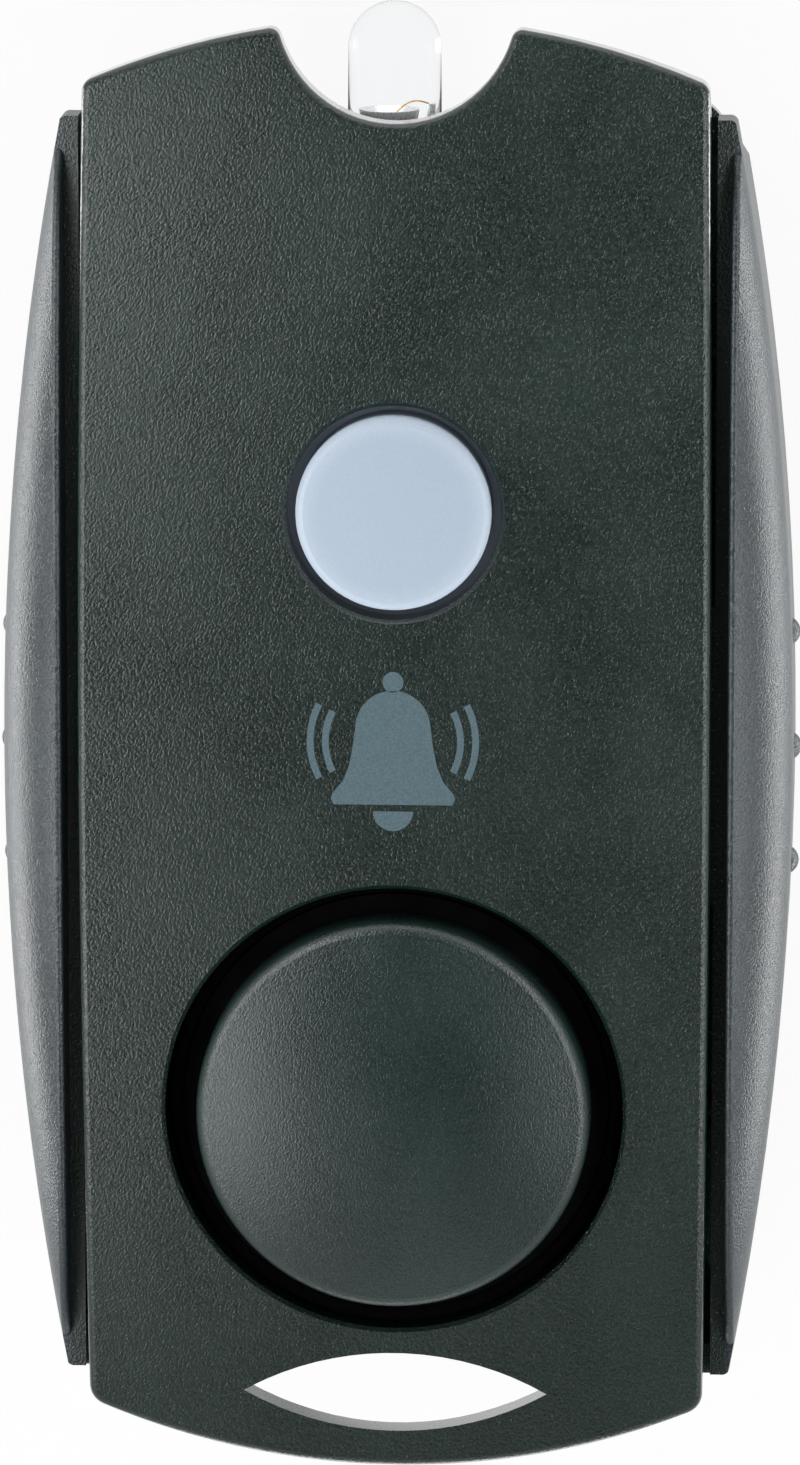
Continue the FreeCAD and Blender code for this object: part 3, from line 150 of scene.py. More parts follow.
class LampShape(bpy.types.PropertyGroup):
    radius: length("Lens radius", "Radius of the lens at its round tip", 2.42)
    root_radius: length("Root radius", "Radius of the lens above its flange", 2.47)
    flange: length("Flange", "Thickness of the lens flange", 1.0)
    tip_to_cup: length("Tip to cup", "From the tip of the lens to the rim of the cup", 5.7)
    cup_height: length("Cup height", "Height of the reflector cup", 1.7)
    cup_radius: length("Cup radius", "Radius of the reflector cup at its rim", 1.45)
    cup_offset: length("Cup offset", "From the middle of the lamp to the middle of the cup", 0.27)
    leg: length("Leg thickness", "Thickness of the square legs", 0.5)
    post_reach: length("Post reach", "From the middle of the lamp to the outer side of the wire post", 2.0)
    spacing: length("Leg spacing", "Between the middles of the legs", 2.54)
    wire_radius: length("Bond wire radius", "Radius of the wire from the die to its post", 0.04)


class BellPrint(bpy.types.PropertyGroup):
    height: length("Bell height", "Height of the printed bell with its clapper", 8.2)
    width: length("Print width", "Width of the print over the sound arcs", 9.0)
    stroke: length("Stroke", "Width of the sound arcs", 0.36)
    thick: length("Ink thickness", "Thickness of the ink", 0.02)
    place: length("Place", "Middle of the print along the cover", 0.8)


class StageSetup(bpy.types.PropertyGroup):
    distance: length("Distance", "From the aim to the camera", 484.3)
    focus: FloatProperty(name="Focal length", description="Focal length in pixels of the picture",
                         default=9300.0, min=1.0)
    tilt: angle("Tilt", "How far the camera stands towards the lamp", 11.0)
    yaw: angle("Yaw", "How far the camera stands to the right", 3.28)
    aim: FloatVectorProperty(name="Aim", description="Point that the camera looks at",
                             default=(0.37 * MM, 1.9 * MM, 17.0 * MM), precision=6,
                             subtype="TRANSLATION", unit="LENGTH")
    room: share("Room light", "Brightness of the white room on the object", 1.98, 4.0)
    overhead: share("Overhead", "Brightness of the room straight above", 0.05)
    near_gloss: gloss("Near lamp", "Brightness of the small lamp at the upper left", 4.8)
    side_gloss: gloss("Side lamp", "Brightness of the lamp at the left of the button", 4.5)
    low_gloss: gloss("Low lamp", "Brightness of the lamp at the lower left", 4.0)
    left_gloss: gloss("Left strip", "Brightness of the long lamp on the left", 4.8)
    right_gloss: gloss("Right strip", "Brightness of the long lamp on the right", 7.5)
    top_gloss: gloss("Top lamp", "Brightness of the large lamp beyond the top", 2.0)
    bottom_gloss: gloss("Bottom lamp", "Brightness of the low lamp beyond the bottom", 4.0)
    rim_gloss: gloss("Rim lamps", "Brightness of the two low lamps beside the keys", 10.0)
    floor_level: gloss("Floor", "Brightness of the floor as seen", 1.03)
    shadow: share("Shadow", "How much of the object's shadow the floor keeps", 0.12)


class Coils(bpy.types.PropertyGroup):
    winding_turns: IntProperty(name="Winding turns", description="Turns of wire on the boost inductor",
                               default=6, min=1)
    spring_turns: FloatProperty(name="Spring turns", description="Turns of each return spring",
                                default=2.5, min=1.0)
    spring_wire: length("Spring wire", "Thickness of the return springs' wire", 0.3)
    travel: length("Key travel", "How far each key goes in, as its joint allows", 0.6)


class AlarmSettings(bpy.types.PropertyGroup):
    finish: PointerProperty(type=ShellFinish)
    lamp: PointerProperty(type=LampShape)
    bell: PointerProperty(type=BellPrint)
    coils: PointerProperty(type=Coils)
    stage: PointerProperty(type=StageSetup)


# Shader nodes


class Wire:
    """A node's output. Arithmetic on it adds Math nodes."""

    def __init__(self, recipe, socket):
        self.recipe = recipe
        self.socket = socket

    def maths(self, operation, first, second):
        return self.recipe.add("Math", {"operation": operation}, {0: first, 1: second})

    def __add__(self, other):
        return self.maths("ADD", self, other)

    def __radd__(self, other):
        return self.maths("ADD", other, self)

    def __sub__(self, other):
        return self.maths("SUBTRACT", self, other)

    def __rsub__(self, other):
        return self.maths("SUBTRACT", other, self)

    def __mul__(self, other):
        return self.maths("MULTIPLY", self, other)

    def __rmul__(self, other):
        return self.maths("MULTIPLY", other, self)

    def __lt__(self, other):
        return self.maths("LESS_THAN", self, other)

    def larger(self, other):
        return self.maths("MAXIMUM", self, other)


class Recipe:
    """The nodes of one material, or of the world."""

    def __init__(self, owner):
        self.owner = owner
        owner.use_nodes = True
        self.tree = owner.node_tree
        self.tree.nodes.clear()

    def add(self, kind, settings=None, sockets=None, output=0):
        """A node by its type, with its settings, then its sockets, and the output that is wanted."""
        node = self.tree.nodes.new("ShaderNode" + kind)
        for name, value in (settings or {}).items():
            setattr(node, name, value)
        for name, value in (sockets or {}).items():
            target = pick(node.inputs, name)
            if isinstance(value, Wire):
                self.tree.links.new(value.socket, target)
            else:
                target.default_value = value
        return Wire(self, pick(node.outputs, output)) if node.outputs else None

    def mix(self, factor, first, second, blend="MIX"):
        """A colour between two others."""
        sockets = {"Factor_Float": factor, "A_Color": first, "B_Color": second}
        settings = {"data_type": "RGBA", "blend_type": blend, "clamp_factor": True}
        return self.add("Mix", settings, sockets, "Result_Color")

    def place(self):
        """The point on the object, in metres."""
        return self.add("TexCoord", output="Object")

    def size_of(self, vector, axis):
        """How large one part of a vector is, whatever its sign."""
        part = self.add("SeparateXYZ", None, {0: vector}, axis)
        return self.add("Math", {"operation": "ABSOLUTE"}, {0: part})

    def stretch(self, place, x, y, z, turn=0.0):
        """The point turned about the upright axis and then divided by a length along each axis."""
        if turn:
            place = self.add("VectorRotate", {"rotation_type": "Z_AXIS"}, {"Vector": place, "Angle": turn})
        lengths = {0: place, 1: (1 / x, 1 / y, 1 / z)}
        return self.add("VectorMath", {"operation": "MULTIPLY"}, lengths, "Vector")

    def noise(self, place, detail=2.0, roughness=0.5, distortion=0.0):
        sockets = {"Vector": place, "Scale": 1.0, "Detail": detail,
                   "Roughness": roughness, "Distortion": distortion}
        return self.add("TexNoise", None, sockets)

    def cells(self, place):
        return self.add("TexVoronoi", None, {"Vector": place, "Scale": 1.0}, "Distance")

    def ramp(self, value, low, high, start=0.0, stop=1.0):
        """A smooth step from start to stop while the value goes from low to high."""
        sockets = {"Value": value, "From Min": low, "From Max": high, "To Min": start, "To Max": stop}
        return self.add("MapRange", {"interpolation_type": "SMOOTHSTEP"}, sockets)

    def spread(self, noise, start, stop):
        """From start to stop over the range that most of a noise fills."""
        return self.ramp(noise, 0.3, 0.7, start, stop)

    def grey(self, tone):
        return self.add("CombineColor", None, {0: tone, 1: tone, 2: tone})

    def toned(self, tint, tone):
        """A colour times a tone near 1."""
        return self.mix(1.0, tint, self.grey(tone), "MULTIPLY")

    def bump(self, height, depth):
        return self.add("Bump", None, {"Height": height, "Distance": depth, "Strength": 1.0})

    def surface(self, **sockets):
        """A Principled surface. Socket names are written with underscores."""
        named = {name.replace("_", " "): value for name, value in sockets.items()}
        shader = self.add("BsdfPrincipled", None, named)
        self.add("OutputMaterial", None, {"Surface": shader})
        return self.owner


def pick(sockets, name):
    """A socket by its number, its identifier or its name."""
    if isinstance(name, int):
        return sockets[name]
    for socket in sockets:
        if socket.identifier == name:
            return socket
    return sockets[name]


def new_recipe(name):
    return Recipe(bpy.data.materials.new(name))


def moulded(name, tint, finish, roughness, fineness=1.0, depth=1.0, dust=0.0, polish=0.0, ledge_shade=None):
    """Moulded plastic with a leathery grain of short low waves, and lint where it collects.

    Fineness and depth scale the grain. Dust is the share of lint inside of the keys' ridges. Polish
    makes the walls smoother and glossier than the faces. Ledge shade is a darker tint painted inside of the
    ridges as shade.
    """
    r = new_recipe(name)
    place = r.place()
    width = finish.grain_width * fineness
    waves = r.noise(r.stretch(place, width, finish.grain_length * fineness, width, finish.grain_lean),
                    detail=1.5, roughness=0.45, distortion=0.35)
    pores = r.noise(r.stretch(place, width / 2.6, width / 2.1, width / 2.6), detail=1.0)
    height = waves * 0.8 + pores * 0.2 - 0.5
    patch = r.noise(r.stretch(place, 6 * MM, 9 * MM, 6 * MM), detail=2.0)
    tinted = r.toned(opaque(tint), r.spread(waves, 0.75, 1.25) * r.spread(patch, 0.88, 1.12))
    rough = r.ramp(patch, 0.25, 0.75, roughness - 0.03, roughness + 0.03) + (waves - 0.5) * 0.1
    across = r.size_of(place, "X")
    # Painted shade: inside of the ridges the colour turns darker, for the shade in the grooves beside the
    # cover.
    if ledge_shade:
        tinted = r.mix(across < RIDGE, tinted, opaque(ledge_shade))
    if dust:
        spots = r.cells(r.stretch(place, 0.34 * MM, 0.42 * MM, 0.34 * MM))
        lint = r.ramp(spots, 0.08, 0.16, dust, 0.0) * (across < RIDGE)
        tinted = r.mix(lint, tinted, opaque(finish.dust))
    coat = {}
    if polish:
        wall = r.ramp(r.size_of(r.add("TexCoord", output="Normal"), "Z"), 0.45, 0.8, polish, 0.0)
        height = height * (1 - wall * 0.8)
        rough = rough * (1 - wall * 0.5)
        coat = {"Coat_Weight": wall, "Coat_Roughness": 0.15}
    return r.surface(Base_Color=tinted, Roughness=rough, IOR=1.5,
                     Normal=r.bump(height, finish.grain_depth * depth), **coat)


def painted(name, tint, roughness, metallic=0.0, speck=0.05 * MM, vary=0.06, depth=0.002 * MM, **more):
    """A fine even surface with a little variation of tone, gloss and height."""
    r = new_recipe(name)
    place = r.place()
    grit = r.noise(r.stretch(place, speck, speck, speck), detail=2.0)
    patch = r.noise(r.stretch(place, 2 * MM, 2 * MM, 2 * MM), detail=1.0)
    tinted = r.toned(opaque(tint), r.spread(patch * 0.6 + grit * 0.4, 1 - vary, 1 + vary))
    rough = r.spread(patch, roughness * 0.9, roughness * 1.1)
    return r.surface(Base_Color=tinted, Roughness=rough, Metallic=metallic,
                     Normal=r.bump(grit, depth), **more)


def brushed(name, tint, roughness, across, metallic=1.0):
    """Drawn or stamped metal with fine lines along one axis. Across holds the grain size on each axis."""
    r = new_recipe(name)
    place = r.place()
    lines = r.noise(r.stretch(place, *across), detail=3.0, roughness=0.6)
    patch = r.noise(r.stretch(place, 3 * MM, 3 * MM, 3 * MM), detail=1.0)
    tinted = r.toned(opaque(tint), r.spread(patch, 0.92, 1.06))
    rough = r.ramp(lines, 0.25, 0.75, roughness * 0.8, roughness * 1.25)
    return r.surface(Base_Color=tinted, Roughness=rough, Metallic=metallic,
                     Normal=r.bump(lines, 0.002 * MM))


# Meshes


def dress(node, material):
    """Gives a carried-over node its material on every slot."""
    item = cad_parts[node]
    for slot in item.material_slots:
        slot.material = material
    if not item.material_slots:
        item.data.materials.append(material)


def piece(name, bm, body, material, stands_for=(), smooth=35):
    """A new object of the part from a bmesh, riding on a body and given its material."""
    mesh = bpy.data.meshes.new(name)
    bmesh.ops.recalc_face_normals(bm, faces=bm.faces)
    bm.to_mesh(mesh)
    bm.free()
    mesh.materials.append(material)
    item = bpy.data.objects.new(name, mesh)
    bpy.context.scene.collection.objects.link(item)
    mesh.shade_smooth()
    mesh.set_sharp_from_angle(angle=math.radians(smooth))
    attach(item, body)
    if stands_for:
        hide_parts(*stands_for)
    return item


def lathe(bm, profile, matrix, steps=96, closed=False):
    """Turns a profile of (radius, height) about the Z axis of a matrix. A radius of 0 makes a pole."""
    rings = []
    for radius, height in profile:
        if radius == 0:
            rings.append([bm.verts.new(matrix @ Vector((0, 0, height)))])
            continue
        turns = (math.tau * step / steps for step in range(steps))
        rings.append([bm.verts.new(matrix @ Vector((radius * math.cos(a), radius * math.sin(a), height)))
                      for a in turns])
    pairs = list(zip(rings, rings[1:]))
    if closed:
        pairs.append((rings[-1], rings[0]))
    for first, second in pairs:
        for step in range(steps):
            after = (step + 1) % steps
            corners = [first[step % len(first)], first[after % len(first)],
                       second[after % len(second)], second[step % len(second)]]
            corners = [corner for index, corner in enumerate(corners) if corner not in corners[:index]]
            if len(corners) > 2:
                bm.faces.new(corners)


def arc_points(centre, radius, start, stop, steps):
    """Points of an arc in the plane, from one angle to another in degrees."""
    for step in range(steps + 1):
        turn = math.radians(start + (stop - start) * step / steps)
        yield centre[0] + radius * math.cos(turn), centre[1] + radius * math.sin(turn)


def block(bm, low, high, bevel):
    """A box between two corners with its edges broken."""
    size = Vector(high) - Vector(low)
    centre = (Vector(high) + Vector(low)) / 2
    made = bmesh.ops.create_cube(bm, size=1.0, matrix=Matrix.LocRotScale(centre, None, size))
    edges = {edge for vert in made["verts"] for edge in vert.link_edges}
    bmesh.ops.bevel(bm, geom=list(edges), offset=bevel, segments=2, affect="EDGES", profile=0.7)


def tube(bm, points, radius, sides=12):
    """A round wire along points, with flat ends."""
    points = [Vector(point) for point in points]
    rings = []
    side = None
    for index, point in enumerate(points):
        before = points[max(index - 1, 0)]
        after = points[min(index + 1, len(points) - 1)]
        along = (after - before).normalized()
        if side is None:
            side = along.orthogonal().normalized()
        side = (side - along * side.dot(along)).normalized()
        other = along.cross(side)
        turns = (math.tau * step / sides for step in range(sides))
        rings.append([bm.verts.new(point + radius * (side * math.cos(a) + other * math.sin(a)))
                      for a in turns])
    for first, second in zip(rings, rings[1:]):
        for step in range(sides):
            after = (step + 1) % sides
            bm.faces.new((first[step], first[after], second[after], second[step]))
    bm.faces.new(rings[0])
    bm.faces.new(rings[-1])


def stamp(outlines, level, thick, band=None):
    """Flat shapes laid on a surface. Level gives the height of the surface under x, y."""
    bm = bmesh.new()
    for outline in outlines:
        bm.faces.new([bm.verts.new((x, y, 0)) for x, y in outline])
    if band:
        ends = [vert.co.y for vert in bm.verts]
        cuts = int((max(ends) - min(ends)) / band)
        for cut in range(1, cuts + 1):
            bmesh.ops.bisect_plane(bm, geom=[*bm.verts, *bm.edges, *bm.faces],
                                   plane_co=(0, min(ends) + cut * band, 0), plane_no=(0, 1, 0))
    for vert in bm.verts:
        vert.co.z = level(vert.co.x, vert.co.y) - thick / 4
    made = bmesh.ops.extrude_face_region(bm, geom=list(bm.faces))
    for item in made["geom"]:
        if isinstance(item, bmesh.types.BMVert):
            item.co.z += thick * 1.25
    return bm


def surface_under(node):
    """A function that gives the height of a node's top surface under x, y."""
    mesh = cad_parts[node].data
    tree = BVHTree.FromPolygons([vert.co for vert in mesh.vertices],
                                [list(face.vertices) for face in mesh.polygons])
    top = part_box(node)[1].z + MM

    def level(x, y):
        hit = tree.ray_cast(Vector((x, y, top)), Vector((0, 0, -1)))[0]
        return hit.z

    return level


class AlarmOperator:
    """What the operators of this file share."""

    bl_options = {"REGISTER", "UNDO"}

    def execute(self, context):
        self.make(context.scene.alarm)
        return {"FINISHED"}


class ALARM_OT_shell(AlarmOperator, bpy.types.Operator):
    """Finish the cover, the case and the battery door in grained black plastic"""

    bl_idname = "alarm.shell"
    bl_label = "Shell"

    def make(self, alarm):
        finish = alarm.finish
        cover = moulded("grained_cover_plastic", finish.shell, finish, finish.shell_roughness, polish=1.0)
        case = moulded("grained_case_plastic", finish.shell, finish, finish.shell_roughness, dust=0.8,
                       polish=0.6)
        dress("front_cover", cover)
        dress("rear_case", case)
        dress("battery_door", moulded("door_plastic", finish.cap, finish, finish.cap_roughness, 0.7, 0.5))


class ALARM_OT_keys(AlarmOperator, bpy.types.Operator):
    """Finish the two squeeze keys in charcoal plastic, with painted shade on their inner bands"""

    bl_idname = "alarm.keys"
    bl_label = "Squeeze keys"

    def make(self, alarm):
        finish = alarm.finish
        # The keys' inner bands take the shell's darker colour as painted shade.
        material = moulded("charcoal_key_plastic", finish.key, finish, finish.key_roughness, fineness=0.9,
                           dust=0.45, ledge_shade=finish.shell)
        for node in ("left_key", "right_key"):
            dress(node, material)


class ALARM_OT_button(AlarmOperator, bpy.types.Operator):
    """Finish the torch button in pale matt plastic, with a painted glow of light at its rim"""

    bl_idname = "alarm.button"
    bl_label = "Torch button"

    def make(self, alarm):
        finish = alarm.finish
        low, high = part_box("torch_button")
        centre = (low + high) / 2
        reach = (high.x - low.x) / 2
        r = new_recipe("pale_button_plastic")
        place = r.place()
        offset = r.add("VectorMath", {"operation": "SUBTRACT"},
                       {0: place, 1: (centre.x, centre.y, 0)}, "Vector")
        flat = r.add("VectorMath", {"operation": "MULTIPLY"}, {0: offset, 1: (1, 1, 0)}, "Vector")
        radius = r.add("VectorMath", {"operation": "LENGTH"}, {0: flat}, "Value")
        # Painted glow: towards the edge the button turns paler, as light through the plastic there would
        # make it.
        rim = r.ramp(radius, reach * 0.6, reach * 0.8)
        grit = r.noise(r.stretch(place, 0.09 * MM, 0.09 * MM, 0.09 * MM), detail=2.0)
        tone = r.spread(grit, 0.965, 1.03)
        tinted = r.toned(r.mix(rim, opaque(finish.button), opaque(finish.button_rim_glow)), tone)
        rough = r.spread(grit, 0.5, 0.6)
        dress("torch_button", r.surface(Base_Color=tinted, Roughness=rough, IOR=1.5,
                                        Normal=r.bump(grit, 0.004 * MM)))


class ALARM_OT_bell(AlarmOperator, bpy.types.Operator):
    """Print a plain bell with sound arcs on the cover"""

    bl_idname = "alarm.bell"
    bl_label = "Bell print"

    def make(self, alarm):
        bell = alarm.bell
        half = bell.width / 2
        unit = bell.height / 8.2
        middle = bell.place
        knob = (0, middle + 3.75 * unit)
        clapper = (0, middle - 3.1 * unit)
        source = (0, middle + 0.6 * unit)
        spread = 27
        outlines = [
            list(self.bell_outline(unit, middle)),
            list(arc_points(knob, 0.55 * unit, 0, 345, 23)),
            list(arc_points(clapper, 1.05 * unit, 180, 360, 20)),
        ]
        for side in (0, 180):
            for reach in (half, half - 2.2 * bell.stroke):
                outer = list(arc_points(source, reach, side - spread, side + spread, 20))
                inner = list(arc_points(source, reach - bell.stroke, side + spread, side - spread, 20))
                outlines.append(outer + inner)
        r = new_recipe("slate_ink")
        place = r.place()
        grit = r.noise(r.stretch(place, 0.08 * MM, 0.11 * MM, 0.08 * MM), detail=2.0)
        tinted = r.toned(opaque(alarm.finish.ink), r.spread(grit, 0.8, 1.18))
        material = r.surface(Base_Color=tinted, Roughness=0.5, Normal=r.bump(grit, 0.006 * MM))
        bm = stamp(outlines, surface_under("front_cover"), bell.thick, band=MM)
        piece("bell_print", bm, "case", material)

    def bell_outline(self, unit, middle):
        """The bell's body: a round crown, sides that flare, and a lipped rim."""
        right = list(arc_points((0, 1.35 * unit), 1.95 * unit, 90, 8, 14))
        right += [(x * unit, y * unit) for x, y in BELL_SIDE]
        left = [(-x, y) for x, y in reversed(right[1:])]
        for x, y in right + left:
            yield x, y + middle


class ALARM_OT_lamp(AlarmOperator, bpy.types.Operator):
    """Build the clear lamp with its cup, die, bond wire and legs"""

    bl_idname = "alarm.lamp"
    bl_label = "Lamp"

    def make(self, alarm):
        lamp = alarm.lamp
        low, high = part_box("lamp_lens")
        centre = (low + high) / 2
        axis = Matrix.Translation((centre.x, 0, centre.z)) @ Matrix.Rotation(-math.pi / 2, 4, "X")
        flange_radius = (high.x - low.x) / 2
        self.make_lens(lamp, axis, low.y, high.y, flange_radius)
        self.make_frame(lamp, centre, high.y)

    def make_lens(self, lamp, axis, root, tip, flange_radius):
        r = new_recipe("clear_epoxy")
        ripple = r.noise(r.stretch(r.place(), 0.8 * MM, 1.6 * MM, 0.8 * MM), detail=1.0)
        rough = r.spread(ripple, 0.01, 0.035)
        clear = r.surface(Base_Color=(0.96, 0.965, 0.975, 1), Roughness=rough, IOR=1.08,
                          Transmission_Weight=1.0, Normal=r.bump(ripple, 0.003 * MM))
        shoulder = root + lamp.flange
        dome = tip - lamp.radius
        edge = 0.12 * MM
        profile = [(0, root), (flange_radius - edge, root), (flange_radius, root + edge),
                   (flange_radius, shoulder - edge), (flange_radius - edge, shoulder),
                   (lamp.root_radius + edge, shoulder), (lamp.root_radius, shoulder + edge)]
        profile += list(arc_points((0, dome), lamp.radius, 0, 88, 22))
        profile.append((0, tip))
        bm = bmesh.new()
        lathe(bm, profile, axis, 128)
        piece("lamp_lens_clear", bm, "case", clear, ("lamp_lens",), smooth=50)

    def make_frame(self, lamp, centre, tip):
        """The stamped frame: a leg with the reflector cup, and a leg with the wire post."""
        low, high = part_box("lamp_lead_frame")
        metal = brushed("silvered_leads", paint(222, 224, 226), 0.3, (0.03 * MM, 0.6 * MM, 0.03 * MM),
                        metallic=0.6)
        rim = tip - lamp.tip_to_cup
        foot = rim - lamp.cup_height
        half = lamp.leg / 2
        spacing = lamp.spacing / 2
        cup_x = centre.x - lamp.cup_offset
        bevel = 0.06 * MM
        bm = bmesh.new()
        for side in (-1, 1):
            x = centre.x + side * spacing
            block(bm, (x - half, low.y, low.z), (x + half, foot - half, high.z), bevel)
        post = centre.x + lamp.post_reach
        post_top = rim + 0.3 * MM
        block(bm, (post - 0.8 * lamp.leg, foot - half - bevel, low.z), (post, post_top, high.z), bevel)
        block(bm, (centre.x + spacing - half, foot - 2 * lamp.leg, low.z),
              (post, foot - half, high.z), bevel)
        block(bm, (centre.x - spacing - half, foot - 2 * half, low.z),
              (cup_x + lamp.cup_radius * 0.5, foot, high.z), bevel)
        wall = 0.16 * MM
        floor = foot + lamp.cup_height * 0.55
        cup_axis = Matrix.Translation((cup_x, 0, centre.z)) @ Matrix.Rotation(-math.pi / 2, 4, "X")
        cup = [(0, foot - half / 2), (lamp.cup_radius * 0.8, foot - half / 2),
               (lamp.cup_radius, rim - wall), (lamp.cup_radius, rim), (lamp.cup_radius - wall, rim),
               (lamp.cup_radius * 0.5, floor), (0, floor)]
        lathe(bm, cup, cup_axis, 64)
        piece("lamp_cup_and_legs", bm, "case", metal, ("lamp_lead_frame",))
        glow = painted("phosphor_die", paint(226, 196, 92), 0.5, vary=0.1)
        bm = bmesh.new()
        lathe(bm, [(0, floor - wall / 2), (0.3 * MM, floor - wall / 2), (0.34 * MM, floor + 0.1 * MM),
                   (0.2 * MM, floor + 0.2 * MM), (0, floor + 0.22 * MM)], cup_axis, 32)
        piece("lamp_die", bm, "case", glow)
        gold = brushed("gold_wire", paint(214, 172, 92), 0.25, (0.02 * MM, 0.1 * MM, 0.02 * MM))
        start = Vector((cup_x, floor + 0.15 * MM, centre.z))
        stop = Vector((post - half, rim + 0.25 * MM, centre.z))
        rise = 0.55 * MM
        steps = 16
        loop = [start.lerp(stop, step / steps) + Vector((0, rise * math.sin(math.pi * step / steps), 0))
                for step in range(steps + 1)]
        bm = bmesh.new()
        tube(bm, loop, lamp.wire_radius)
        piece("lamp_bond_wire", bm, "case", gold)


class ALARM_OT_siren(AlarmOperator, bpy.types.Operator):
    """Finish the siren cap and housing, and build the foam seal between housing and cover"""

    bl_idname = "alarm.siren"
    bl_label = "Siren"

    def make(self, alarm):
        finish = alarm.finish
        dress("siren_cap", moulded("satin_cap_plastic", finish.cap, finish, finish.cap_roughness, 0.8, 0.7))
        # Painted shade: the housing is near-pure black with almost no gloss, so it also stands for the
        # shade in the ring gap.
        dress("siren_housing", painted("housing_plastic_and_gap_shade", finish.depth, 0.9, Specular_IOR_Level=0.08))
        brass = brushed("sounder_brass", paint(196, 164, 92), 0.3, (0.04 * MM, 0.9 * MM, 0.04 * MM))
        dress("piezo_disc", brass)
        dress("piezo_ceramic", painted("silvered_ceramic", paint(214, 212, 204), 0.42, metallic=0.3))
        leads = (("piezo_lead_positive", paint(168, 28, 24)), ("piezo_lead_negative", paint(24, 24, 26)))
        for node, tint in leads:
            dress(node, painted(node + "_sleeve", tint, 0.45, vary=0.1, speck=0.12 * MM))
        self.make_foam()

    def make_foam(self):
        low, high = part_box("foam_ring")
        centre = (low + high) / 2
        outer = (high.x - low.x) / 2
        width = 0.75 * MM
        round_edge = 0.2 * MM
        bottom, top = low.z, high.z
        bulge = 0.03 * MM
        inner = outer - width
        profile = [(inner + round_edge, bottom), (outer - round_edge, bottom),
                   (outer - bulge, bottom + round_edge), (outer, centre.z),
                   (outer - bulge, top - round_edge), (outer - round_edge, top),
                   (inner + round_edge, top), (inner + bulge, top - round_edge),
                   (inner, centre.z), (inner + bulge, bottom + round_edge)]
        r = new_recipe("open_cell_foam_and_gap_shade")
        pores = r.cells(r.stretch(r.place(), 0.12 * MM, 0.12 * MM, 0.12 * MM))
        # Painted shade: the foam's tone is near zero, darker than its own black, for the shade at the
        # bottom of the ring gap.
        tone = r.ramp(pores, 0.1, 0.7, 0.001, 0.003)
        material = r.surface(Base_Color=r.grey(tone), Roughness=1.0, Specular_IOR_Level=0.05,
                             Normal=r.bump(pores, 0.04 * MM))
        bm = bmesh.new()
        lathe(bm, profile, Matrix.Translation((centre.x, centre.y, 0)), 160, closed=True)
        seal = piece("foam_seal", bm, "case", material, ("foam_ring",), smooth=80)


class ALARM_OT_battery(AlarmOperator, bpy.types.Operator):
    """Finish the coin cells and the contacts"""

    bl_idname = "alarm.battery"
    bl_label = "Cells and contacts"

    def make(self, alarm):
        steel = brushed("nickel_can", paint(196, 194, 188), 0.28, (0.05 * MM, 0.8 * MM, 0.05 * MM))
        for node in ("coin_cell_lower", "coin_cell_upper"):
            dress(node, steel)
        strip = brushed("contact_strip", paint(206, 204, 196), 0.25, (0.03 * MM, 0.5 * MM, 0.5 * MM))
        for node in ("positive_contact", "negative_contact"):
            dress(node, strip)


class ALARM_OT_board(AlarmOperator, bpy.types.Operator):
    """Finish the circuit board and its components, and build the pins and winding"""

    bl_idname = "alarm.board"
    bl_label = "Circuit board"

    def make(self, alarm):
        laminate = painted("green_laminate", paint(22, 92, 52), 0.35, vary=0.12, speck=0.2 * MM)
        dress("circuit_board", laminate)
        epoxy = painted("chip_epoxy", paint(30, 31, 33), 0.5, vary=0.1)
        for node in ("sound_chip", "drive_transistor", "chip_resistors"):
            dress(node, epoxy)
        dress("boost_inductor", painted("ferrite", paint(52, 50, 50), 0.6, vary=0.15, speck=0.1 * MM))
        can = brushed("aluminium_can", paint(206, 208, 212), 0.3, (0.04 * MM, 0.04 * MM, 0.6 * MM))
        dress("capacitor", can)
        switch = painted("switch_case", paint(26, 26, 28), 0.45)
        for node in ("torch_switch", "right_key_switch", "left_key_switch"):
            dress(node, switch)
        stem = painted("switch_stem", paint(222, 220, 212), 0.4)
        for node in ("torch_switch_stem", "right_switch_stem", "left_switch_stem"):
            dress(node, stem)
        self.make_pins()
        self.make_winding(alarm.coils.winding_turns)

    def make_pins(self):
        """Bent pins down both long sides of the chip and the transistor, soldered to the board."""
        tin = brushed("tinned_pins", paint(204, 204, 206), 0.28, (0.04 * MM, 0.4 * MM, 0.04 * MM))
        bm = bmesh.new()
        pin_width = 0.4 * MM
        reach = 0.55 * MM
        thick = 0.15 * MM
        for node, count in (("sound_chip", 4), ("drive_transistor", 3)):
            low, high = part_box(node)
            pitch = (high.x - low.x - pin_width) / count
            knee = low.z + 0.45 * (high.z - low.z)
            for index in range(count):
                left = low.x + pitch * (index + 0.5)
                right = left + pin_width
                for side, y in ((-1, low.y), (1, high.y)):
                    near, far = sorted((y, y + side * reach / 2))
                    block(bm, (left, near, knee - thick), (right, far, knee), thick / 4)
                    near, far = sorted((y + side * (reach / 2 - thick), y + side * reach / 2))
                    block(bm, (left, near, low.z), (right, far, knee), thick / 4)
        piece("component_pins", bm, "case", tin)

    def make_winding(self, turns):
        """Enamelled copper wire round the waist of the inductor."""
        low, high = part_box("boost_inductor")
        centre = (low + high) / 2
        flange = 0.6 * MM
        waist = 2.3 * MM
        wire = (high.z - low.z - 2 * flange) / turns / 2
        copper = brushed("enamelled_copper", paint(176, 92, 48), 0.3, (0.04 * MM, 0.04 * MM, 0.4 * MM))
        bm = bmesh.new()
        per_turn = 48
        points = []
        for step in range((turns - 1) * per_turn + 1):
            turn = math.tau * step / per_turn
            climb = low.z + flange + wire + step / per_turn * 2 * wire
            reach = waist + wire
            points.append((centre.x + reach * math.cos(turn), centre.y + reach * math.sin(turn), climb))
        tube(bm, points, wire * 0.96, 10)
        piece("inductor_winding", bm, "case", copper)


